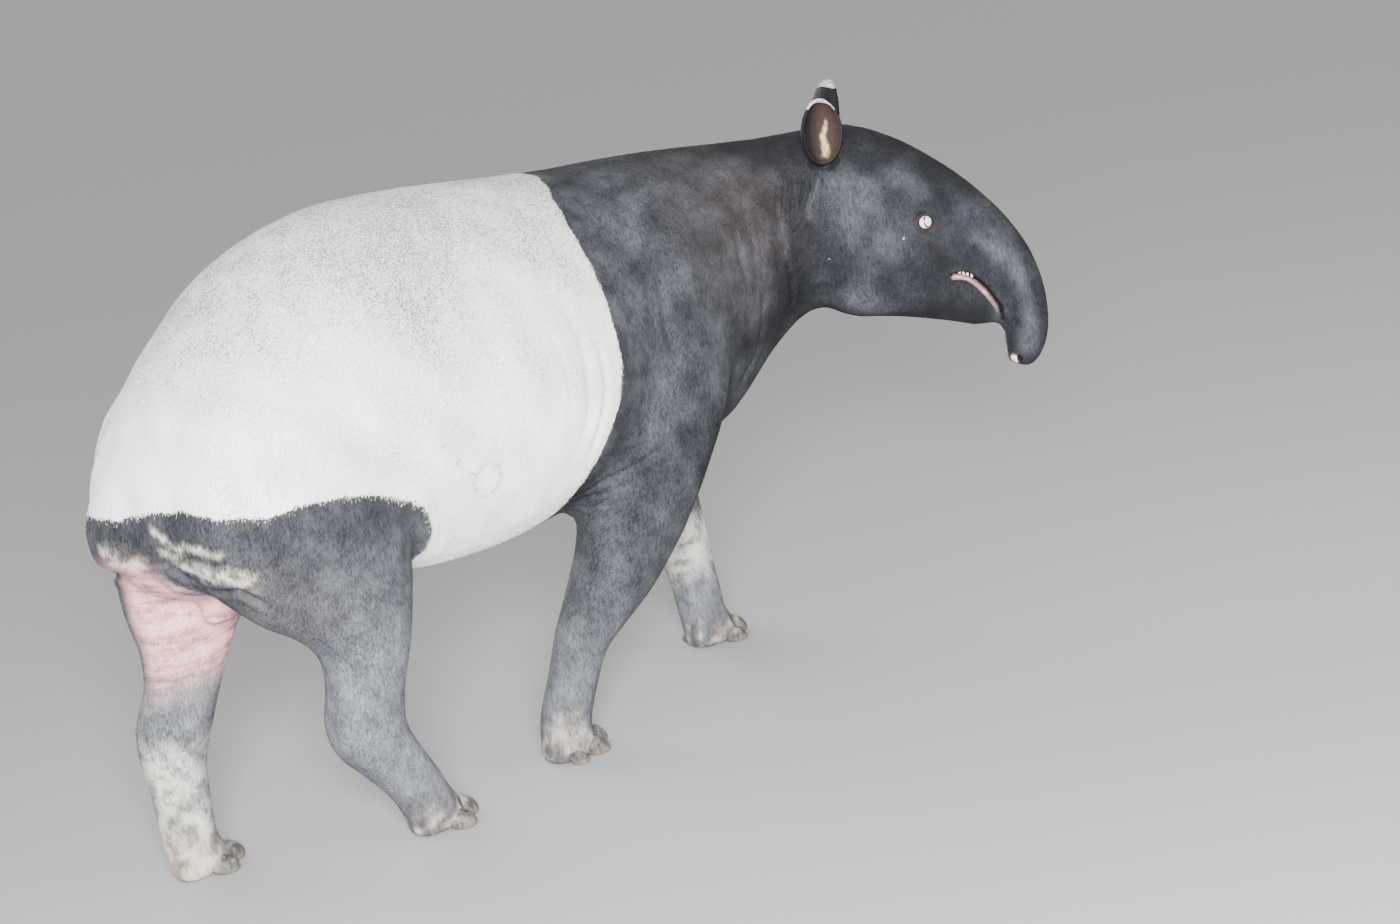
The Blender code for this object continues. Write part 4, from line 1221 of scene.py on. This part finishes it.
def hide_finish(name, depth, loose):
    """The finish of skin, or of hair where the bump is shallow."""
    finish = Finish(name, 0.5, Specular_IOR_Level=0.12)
    colour, middle, fine, strands = hide_colour(finish, loose)
    tone = finish.attribute("tone")
    colour = finish.mix(tone.step(0.0, 1.0, 0.0, 0.16), colour, (0.0, 0.0, 0.0))
    inputs = {"Vector": finish.at, "Scale": 240.0}
    pores = finish.node("ShaderNodeTexVoronoi", {"feature": "F1"}, inputs, "Distance")
    wet = finish.attribute("dark") * 0.10
    rough = 0.58 + 0.20 * middle + 0.10 * fine - wet + finish.attribute("mud") * 0.20
    normal = finish.bump(strands * 0.8 + fine * 0.5, 0.55, 0.0009 * depth)
    normal = finish.bump(pores * 0.6 + middle * 0.8, 0.45, 0.0010 * depth, normal)
    return finish.feed(Base_Color=colour, Roughness=rough, Normal=normal)


hide.data.materials.clear()
hide.data.materials.append(hide_finish("tapir_hide", 1.0, 0.0))
only(hide)
bpy.ops.object.shade_smooth()
for node in FLESH + ["ear_left", "ear_right"]:
    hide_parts(node)
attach(hide, "root")
print("hide dressed")

# %% [markdown]
# ## Eyes and teeth
# The eye is small and set deep. Its ball is drawn with a slight bulge for the cornea. The iris comes from
# how far each place is from the line of sight. Its middle is a painted reflection, a pale eye-shine, and the
# dark crescent is the rim of that bright oval. A few teeth show under the lip.

# %% Eyeballs
CORNEA_BULGE = 0.07
CORNEA_REACH = math.radians(42)


def new_object(name, points, faces):
    mesh = bpy.data.meshes.new(name)
    mesh.from_pydata([tuple(p) for p in points], [], faces)
    obj = bpy.data.objects.new(name, mesh)
    bpy.context.scene.collection.objects.link(obj)
    return obj


def face_outwards(obj):
    only(obj)
    bpy.ops.object.mode_set(mode="EDIT")
    bpy.ops.mesh.select_all(action="SELECT")
    bpy.ops.mesh.normals_make_consistent(inside=False)
    bpy.ops.object.mode_set(mode="OBJECT")


def eye_finish():
    finish = Finish("tapir_eye", 0.06, Coat_Weight=1.0, Coat_Roughness=0.03)
    gaze, arc = finish.attribute("gaze"), finish.attribute("arc")
    streaks, clouds = finish.noise(900.0, 3.0), finish.noise(260.0, 3.0)
    iris = finish.mix(streaks.step(0.35, 0.65), (0.030, 0.014, 0.008), (0.120, 0.050, 0.040))
    # Painted reflection: the middle of the eye is a pale eye-shine.
    shine = finish.mix(clouds.step(0.3, 0.7), (0.78, 0.75, 0.78), (0.90, 0.89, 0.90))
    colour = finish.mix(gaze.step(0.84, 0.92), shine, iris)
    crescent = arc.math("ABSOLUTE", 0.0).step(0.15, 0.24, 1.0, 0.0)
    colour = finish.mix(crescent * gaze.step(0.80, 0.90, 1.0, 0.0), colour, (0.02, 0.012, 0.014))
    return finish.feed(Base_Color=colour)


eye_material = eye_finish()
for word in ("left", "right"):
    centre, out, ahead, up = eye_axes[word]
    bpy.ops.object.select_all(action="DESELECT")
    bpy.ops.mesh.primitive_uv_sphere_add(segments=64, ring_count=64, radius=1.0)
    eye = bpy.context.object
    eye.name = "eyeball_" + word
    ball = world_points(eye.data)
    angle = np.arccos(np.clip(ball[:, 2], -1, 1))
    bulge = 1 + CORNEA_BULGE * np.clip(1 - (angle / CORNEA_REACH) ** 2, 0, 1) ** 2
    local = ball * (EYE_RADIUS * bulge)[:, None]
    move_points(eye.data, centre + local[:, :1] * ahead + local[:, 1:2] * up + local[:, 2:] * out)
    write_attribute(eye.data, "gaze", np.sin(np.minimum(angle, math.pi / 2)) * EYE_RADIUS / LID_OPENING[0])
    across, height = ball[:, 0] * EYE_RADIUS / LID_OPENING[0], ball[:, 1] * EYE_RADIUS / LID_OPENING[0]
    write_attribute(eye.data, "arc", np.hypot((across - 0.38) / 0.54, (height - 0.10) / 0.84) - 1.10)
    face_outwards(eye)
    bpy.ops.object.shade_smooth()
    eye.data.materials.append(eye_material)
    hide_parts("eye_" + word)
    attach(eye, "root")
print("eyes set")

# %% Teeth under the upper lip
TEETH = [(1.4765, 0.0050), (1.4835, 0.0065), (1.4905, 0.0065), (1.4975, 0.0055)]
CROWN = [(-0.60, 0.55), (-0.15, 0.92), (0.25, 1.00), (0.60, 0.90), (0.86, 0.62), (1.00, 0.22)]
TOOTH_RADIUS = 0.0027
TOOTH_INSET = 0.0055
TOOTH_SIDES = 14

hide_tree = BVHTree.FromObject(hide, bpy.context.evaluated_depsgraph_get())
tooth_points, tooth_faces = [], []
for side in (-1, 1):
    way_in = place(1.5, 0, 0) - place(1.5, side, 0)
    for along, length in TEETH:
        line = np.array(MOUTH)
        lip_height = float(np.interp(along, line[:, 0], line[:, 1])) + 0.0048
        start = place(along, side * 0.3, lip_height + 0.005)
        skin = hide_tree.ray_cast(start, way_in.normalized())[0]
        root = skin + way_in.normalized() * TOOTH_INSET
        first = len(tooth_points)
        for rise, size in CROWN:
            for k in range(TOOTH_SIDES):
                angle = math.tau * k / TOOTH_SIDES
                flat = Vector((math.cos(angle), 0.8 * math.sin(angle), 0.0)) * TOOTH_RADIUS * size
                tooth_points.append(Vector((root.x, root.y, lip_height - rise * length)) + flat)
        rings = len(CROWN)
        for ring in range(rings - 1):
            a, b = first + ring * TOOTH_SIDES, first + (ring + 1) * TOOTH_SIDES
            for k in range(TOOTH_SIDES):
                n = (k + 1) % TOOTH_SIDES
                tooth_faces.append((a + k, a + n, b + n, b + k))
        tooth_faces.append(tuple(range(first, first + TOOTH_SIDES)))
        last = first + (rings - 1) * TOOTH_SIDES
        tooth_faces.append(tuple(range(last, last + TOOTH_SIDES)))
teeth = new_object("teeth", tooth_points, tooth_faces)
face_outwards(teeth)
bpy.ops.object.shade_smooth()
finish = Finish("ivory", 0.25, Coat_Weight=0.4)
stain = finish.noise(500.0, 3.0)
colour = finish.mix(stain.step(0.4, 0.65), (0.80, 0.76, 0.68), (0.62, 0.54, 0.42))
teeth.data.materials.append(finish.feed(Base_Color=colour, Normal=finish.bump(stain, 0.3, 0.0003)))
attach(teeth, "root")
print(len(TEETH) * 2, "teeth")

# %% [markdown]
# ## Hooves
# A tapir walks on four small hooves in front and three behind. Each is a horny nail with fine rings, worn
# blunt at the edge and paler there, with dried mud where it meets the hide.

# %% Hooves
RING_STEP = 0.0032
RING_DEPTH = 0.00035
HORN_OVER_SOLID = 0.0012


def hoof_finish():
    finish = Finish("hoof_horn", 0.45, Specular_IOR_Level=0.4)
    rise = finish.attribute("rise")
    grain = finish.noise(60.0, 4.0, 0.6, finish.stretched((3.0, 3.0, 0.8)))
    dirt = finish.noise(38.0, 5.0)
    horn = finish.mix(grain.step(0.35, 0.65), (0.035, 0.031, 0.030), (0.130, 0.115, 0.102))
    horn = finish.mix(rise.step(0.0, 0.45, 0.6, 0.0), horn, (0.24, 0.205, 0.165))
    colour = finish.mix((dirt + rise * 0.22).step(0.62, 0.86, 0.0, 0.8), horn, MUD_DEEP)
    normal = finish.bump(grain + dirt * 0.5, 0.5, 0.0006)
    return finish.feed(Base_Color=colour, Roughness=0.38 + 0.4 * dirt, Normal=normal)


horn = hoof_finish()
for node in HOOVES:
    hoof = copy_of(node, node + "_horn")
    apply(hoof, "SUBSURF", levels=2, render_levels=2)
    points, normals = world_points(hoof.data), normals_of(hoof.data)
    low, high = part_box(node)
    rise = (points[:, 2] - low.z) / (high.z - low.z)
    rings = np.sin(points[:, 2] / RING_STEP * math.tau + 1.5 * ripple(points, 0.02, 11))
    side_face = 1 - np.abs(normals[:, 2])
    points += (RING_DEPTH * rings * side_face + HORN_OVER_SOLID)[:, None] * normals
    points[:, 2] = np.maximum(points[:, 2], low.z)
    move_points(hoof.data, points)
    write_attribute(hoof.data, "rise", np.clip(rise, 0, 1))
    only(hoof)
    bpy.ops.object.shade_smooth()
    hoof.data.materials.append(horn)
    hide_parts(node)
    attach(hoof, "root")
print(len(HOOVES), "hooves")

# %% [markdown]
# ## The coat
# The hair is under a centimetre long, stiff and flat. It is laid as small solid tufts, each sunk in the
# skin at its root and tapering to its tip, in the way that the hair grows: from the muzzle up over the
# head, back along the body and down the legs. A tuft takes its markings from the skin at its root, and its
# place on an unwrap of the skin for baking.

# %% Which way the hair lies
GUIDES = [
    # place on the straight animal, then the way: ahead, out from the middle, up
    ((1.58, 0.04, 0.48), (-0.15, 0.15, 1.00)),
    ((1.60, 0.04, 0.60), (-0.55, 0.10, 0.85)),
    ((1.53, 0.05, 0.72), (-0.90, 0.10, 0.45)),
    ((1.43, 0.06, 0.82), (-1.00, 0.10, 0.20)),
    ((1.40, 0.08, 0.65), (-1.00, 0.05, -0.15)),
    ((1.45, 0.04, 0.56), (-1.00, 0.05, -0.10)),
    ((1.28, 0.10, 0.75), (-1.00, 0.00, -0.35)),
    ((1.28, 0.08, 0.62), (-1.00, 0.00, -0.30)),
    ((1.10, 0.12, 0.85), (-1.00, 0.05, -0.30)),
    ((1.08, 0.12, 0.65), (-0.70, 0.00, -0.75)),
    ((0.90, 0.12, 0.92), (-1.00, 0.15, -0.15)),
    ((0.85, 0.18, 0.70), (-0.70, 0.00, -0.70)),
    ((0.95, 0.10, 0.50), (-0.40, 0.00, -0.95)),
    ((0.60, 0.20, 0.88), (-1.00, 0.15, -0.25)),
    ((0.55, 0.24, 0.65), (-1.00, 0.00, -0.45)),
    ((0.45, 0.15, 0.42), (-1.00, 0.10, 0.00)),
    ((0.25, 0.22, 0.85), (-1.00, 0.15, -0.35)),
    ((0.25, 0.24, 0.60), (-0.90, 0.00, -0.60)),
    ((0.00, 0.16, 0.85), (-0.80, 0.10, -0.65)),
    ((-0.15, 0.12, 0.72), (-0.45, 0.10, -0.95)),
    ((-0.05, 0.22, 0.60), (-0.45, 0.00, -0.95)),
    ((-0.24, 0.05, 0.62), (-0.10, 0.10, -1.00)),
    ((0.05, 0.18, 0.40), (-0.20, 0.00, -1.00)),
    ((-0.12, 0.18, 0.38), (-0.20, 0.00, -1.00)),
    ((0.08, 0.13, 0.12), (0.10, 0.00, -1.00)),
    ((-0.20, 0.13, 0.12), (0.00, 0.00, -1.00)),
    ((0.68, 0.15, 0.42), (-0.45, 0.00, -0.95)),
    ((0.48, 0.12, 0.15), (-0.15, 0.00, -1.00)),
    ((0.90, 0.14, 0.30), (-0.05, 0.00, -1.00)),
    ((0.92, 0.13, 0.10), (0.05, 0.00, -1.00)),
]
GUIDE_REACH = 0.09


def hair_ways(points):
    """The way the hair lies at each point, blended from the nearest guides."""
    where, turn = straight(points)
    side = np.where(where[:, 1] >= 0, 1.0, -1.0)
    on_left = folded(where)
    total = np.zeros((len(points), 3))
    for spot, way in GUIDES:
        gap = np.linalg.norm(on_left - np.array(spot), axis=1)
        weight = np.exp(-gap / GUIDE_REACH * 2.2) + 1e-9
        total += weight[:, None] * np.array(way)
    for word in EAR_MIDDLE:
        ear = ear_place(where, word)
        on_ear = (np.linalg.norm(ear, axis=1) < 1.3) & (ear[:, 2] > -1.0)
        total[on_ear] = (0.0, 0.25, 1.0)
    ahead, out, up = total[:, 0], total[:, 1] * side, total[:, 2]
    x = ahead * np.cos(turn) + out * np.sin(turn)
    y = -ahead * np.sin(turn) + out * np.cos(turn)
    return np.stack([x, y, up], 1)


def bare(points, normals):
    """Where no hair grows: the eye's opening, inside the mouth and nostrils, and the soles."""
    where, _ = straight(points)
    out = (points[:, 2] < 0.006) | ((points[:, 2] < 0.02) & (normals[:, 2] < -0.6))
    for word in eyes_at:
        ring, _, along, _, _ = eye_place(points, word)
        out |= (ring < 1.30) & (along > -0.02)
    above, half, at = mouth_place(where)
    front = by_mouth(where) & (at > 0.01)
    out |= front & (above < half + 0.001) & (above > -half - 0.009)
    out |= (pit_reach(where) < 1.35) & (where[:, 0] > TRUNK_FROM)
    return out


# %% Tufts on each part of the hide
CoatPart = namedtuple("CoatPart", "name density length width")
COAT = [
    CoatPart("coat_rump", 66000, 0.0080, 0.0010),
    CoatPart("coat_flank_left", 78000, 0.0082, 0.0010),
    CoatPart("coat_flank_right", 78000, 0.0082, 0.0010),
    CoatPart("coat_shoulders", 66000, 0.0080, 0.0010),
    CoatPart("coat_neck", 90000, 0.0070, 0.0009),
    CoatPart("coat_head", 118000, 0.0045, 0.0007),
    CoatPart("coat_legs_hind", 96000, 0.0062, 0.0009),
    CoatPart("coat_legs_fore", 88000, 0.0062, 0.0009),
]
MOST_TUFTS = 33200
PATCH = 0.0030
SUNK = 0.0008
LOWEST_HAIR = 0.0004
LIFT = math.radians(5)
LIE_JITTER = math.radians(8)
TUFT_FACES = np.array([(0, 2, 1), (0, 3, 2), (0, 1, 3), (2, 4, 1), (2, 3, 4), (1, 4, 3)])
TUFT_PATCH = np.array([(-0.5, 0.0), (0.0, 0.5), (0.05, 0.0), (0.0, -0.5), (0.5, 0.0)])
rng = np.random.default_rng(7)


def coat_part_of(points):
    """The number of the coat part that each point lies on."""
    where, _ = straight(points)
    x, y, z = where.T
    part = np.where(y > 0, 1, 2)
    part[x < 0.13] = 0
    part[x > 0.600] = 3
    part[x > 0.930] = 4
    part[x > 1.195] = 5
    part[(z < 0.400) & (x < 0.330)] = 6
    part[(z < 0.400) & (x > 0.330) & (x < 1.08)] = 7
    return part


def region_of(number, face_parts):
    """A triangulated copy of one part of the hide, unwrapped by its own shape."""
    only(hide)
    bpy.ops.object.duplicate()
    region = bpy.context.object
    region.name = "region"
    edit_chosen(region, "FACE", region.data.polygons, face_parts != number)
    bpy.ops.mesh.delete(type="FACE")
    bpy.ops.mesh.select_all(action="SELECT")
    bpy.ops.mesh.quads_convert_to_tris()
    bpy.ops.uv.smart_project(angle_limit=math.radians(72), island_margin=0.002)
    bpy.ops.object.mode_set(mode="OBJECT")
    return region


def scatter(region, density):
    """Random roots on a triangulated region: their places, smooth normals and spots on its unwrap."""
    mesh = region.data
    points = world_points(mesh)
    corners = np.empty(len(mesh.loops), np.int32)
    mesh.loops.foreach_get("vertex_index", corners)
    corners = corners.reshape(-1, 3)
    flat = np.empty(len(mesh.loops) * 2, np.float32)
    mesh.uv_layers.active.data.foreach_get("uv", flat)
    unwrap = flat.reshape(-1, 3, 2)
    smooth = rows_of(mesh.attributes["hide_normal"].data, "vector")
    a, b, c = (points[corners[:, k]] for k in range(3))
    area = np.linalg.norm(np.cross(b - a, c - a), axis=1) / 2
    count = min(int(area.sum() * density), MOST_TUFTS)
    steps = (np.arange(count) + rng.random(count)) / count * area.sum()
    face = np.searchsorted(np.cumsum(area), steps).clip(0, len(area) - 1)
    u, v = rng.random(count), rng.random(count)
    over = u + v > 1
    u[over], v[over] = 1 - u[over], 1 - v[over]
    share = np.stack([1 - u - v, u, v], 1)
    roots = (points[corners[face]] * share[:, :, None]).sum(1)
    normals = (smooth[corners[face]] * share[:, :, None]).sum(1)
    normals /= np.linalg.norm(normals, axis=1)[:, None]
    spots = (unwrap[face] * share[:, :, None]).sum(1)
    return roots, normals, spots


def tuft_size(points, part):
    """How long and wide a tuft is, by its place."""
    where, _ = straight(points)
    x, y, z = where.T
    scale = np.ones(len(points))
    if part.name == "coat_head":
        scale = 1.35 - 0.65 * smooth_step(1.20, 1.50, x)
        for word in EAR_MIDDLE:
            scale[np.linalg.norm(ear_place(where, word), axis=1) < 1.3] = 0.75
    if part.name == "coat_neck":
        scale = 1.05 - 0.20 * smooth_step(1.05, 1.20, x)
    if part.name.startswith("coat_legs"):
        scale = 0.55 + 0.60 * smooth_step(0.04, 0.30, z)
    return part.length * scale, part.width * np.sqrt(scale)


def tufts(part, region):
    roots, normals, spots = scatter(region, part.density)
    keep = ~bare(roots, normals)
    roots, normals, spots = roots[keep], normals[keep], spots[keep]
    count = len(roots)
    length, width = tuft_size(roots, part)
    length = length * rng.uniform(0.70, 1.25, count)
    width = width * rng.uniform(0.75, 1.30, count)
    way = hair_ways(roots)
    way -= (way * normals).sum(1)[:, None] * normals
    way /= np.linalg.norm(way, axis=1)[:, None] + 1e-9
    side = np.cross(normals, way)
    clump = 0.07 * ripple(roots, 0.045, 21)
    angle = rng.normal(0, LIE_JITTER, count) + clump
    way, side = (
        way * np.cos(angle)[:, None] + side * np.sin(angle)[:, None],
        side * np.cos(angle)[:, None] - way * np.sin(angle)[:, None],
    )
    lift = np.sin(LIFT * rng.uniform(0.5, 1.6, count)) * length
    points = np.empty((count, 5, 3))
    middle = roots + way * (0.42 * length)[:, None] + normals * (0.30 * lift)[:, None]
    points[:, 0] = roots - normals * SUNK
    points[:, 1] = middle + side * (width / 2)[:, None]
    points[:, 2] = middle + normals * (0.26 * width)[:, None]
    points[:, 3] = middle - side * (width / 2)[:, None]
    points[:, 4] = roots + way * length[:, None] + normals * lift[:, None]
    points[:, :, 2] = np.maximum(points[:, :, 2], LOWEST_HAIR)
    faces = (TUFT_FACES[None] + 5 * np.arange(count)[:, None, None]).reshape(-1, 3)
    patch = np.clip(spots[:, None] + PATCH * TUFT_PATCH[None], 0.0, 1.0)
    uv = patch.reshape(-1, 2)[faces.ravel()]
    return points.reshape(-1, 3), faces, uv, markings(roots, normals)


def coat_object(part, points, faces, uv, marks):
    mesh = bpy.data.meshes.new(part.name)
    mesh.vertices.add(len(points))
    mesh.vertices.foreach_set("co", points.astype(np.float32).ravel())
    mesh.loops.add(len(faces) * 3)
    mesh.loops.foreach_set("vertex_index", faces.astype(np.int32).ravel())
    mesh.polygons.add(len(faces))
    mesh.polygons.foreach_set("loop_start", np.arange(0, len(faces) * 3, 3, dtype=np.int32))
    layer = mesh.uv_layers.new(name="OFBake")
    layer.data.foreach_set("uv", uv.astype(np.float32).ravel())
    mesh.update(calc_edges=True)
    for name, share in marks.items():
        write_attribute(mesh, name, np.repeat(share, 5))
    write_attribute(mesh, "tone", np.repeat(rng.random(len(points) // 5), 5))
    obj = bpy.data.objects.new(part.name, mesh)
    bpy.context.scene.collection.objects.link(obj)
    return obj


smooth_layer = hide.data.attributes.new("hide_normal", "FLOAT_VECTOR", "POINT")
smooth_layer.data.foreach_set("vector", normals_of(hide.data).astype(np.float32).ravel())
face_parts = coat_part_of(face_centres(hide.data))
hair = hide_finish("tapir_hair", 0.35, 0.9)
for number, part in enumerate(COAT):
    region = region_of(number, face_parts)
    points, faces, uv, marks = tufts(part, region)
    coat = coat_object(part, points, faces, uv, marks)
    coat.data.materials.append(hair)
    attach(coat, "root")
    bpy.data.objects.remove(region)
    print(part.name, len(points) // 5, "tufts,", len(faces), "triangles")
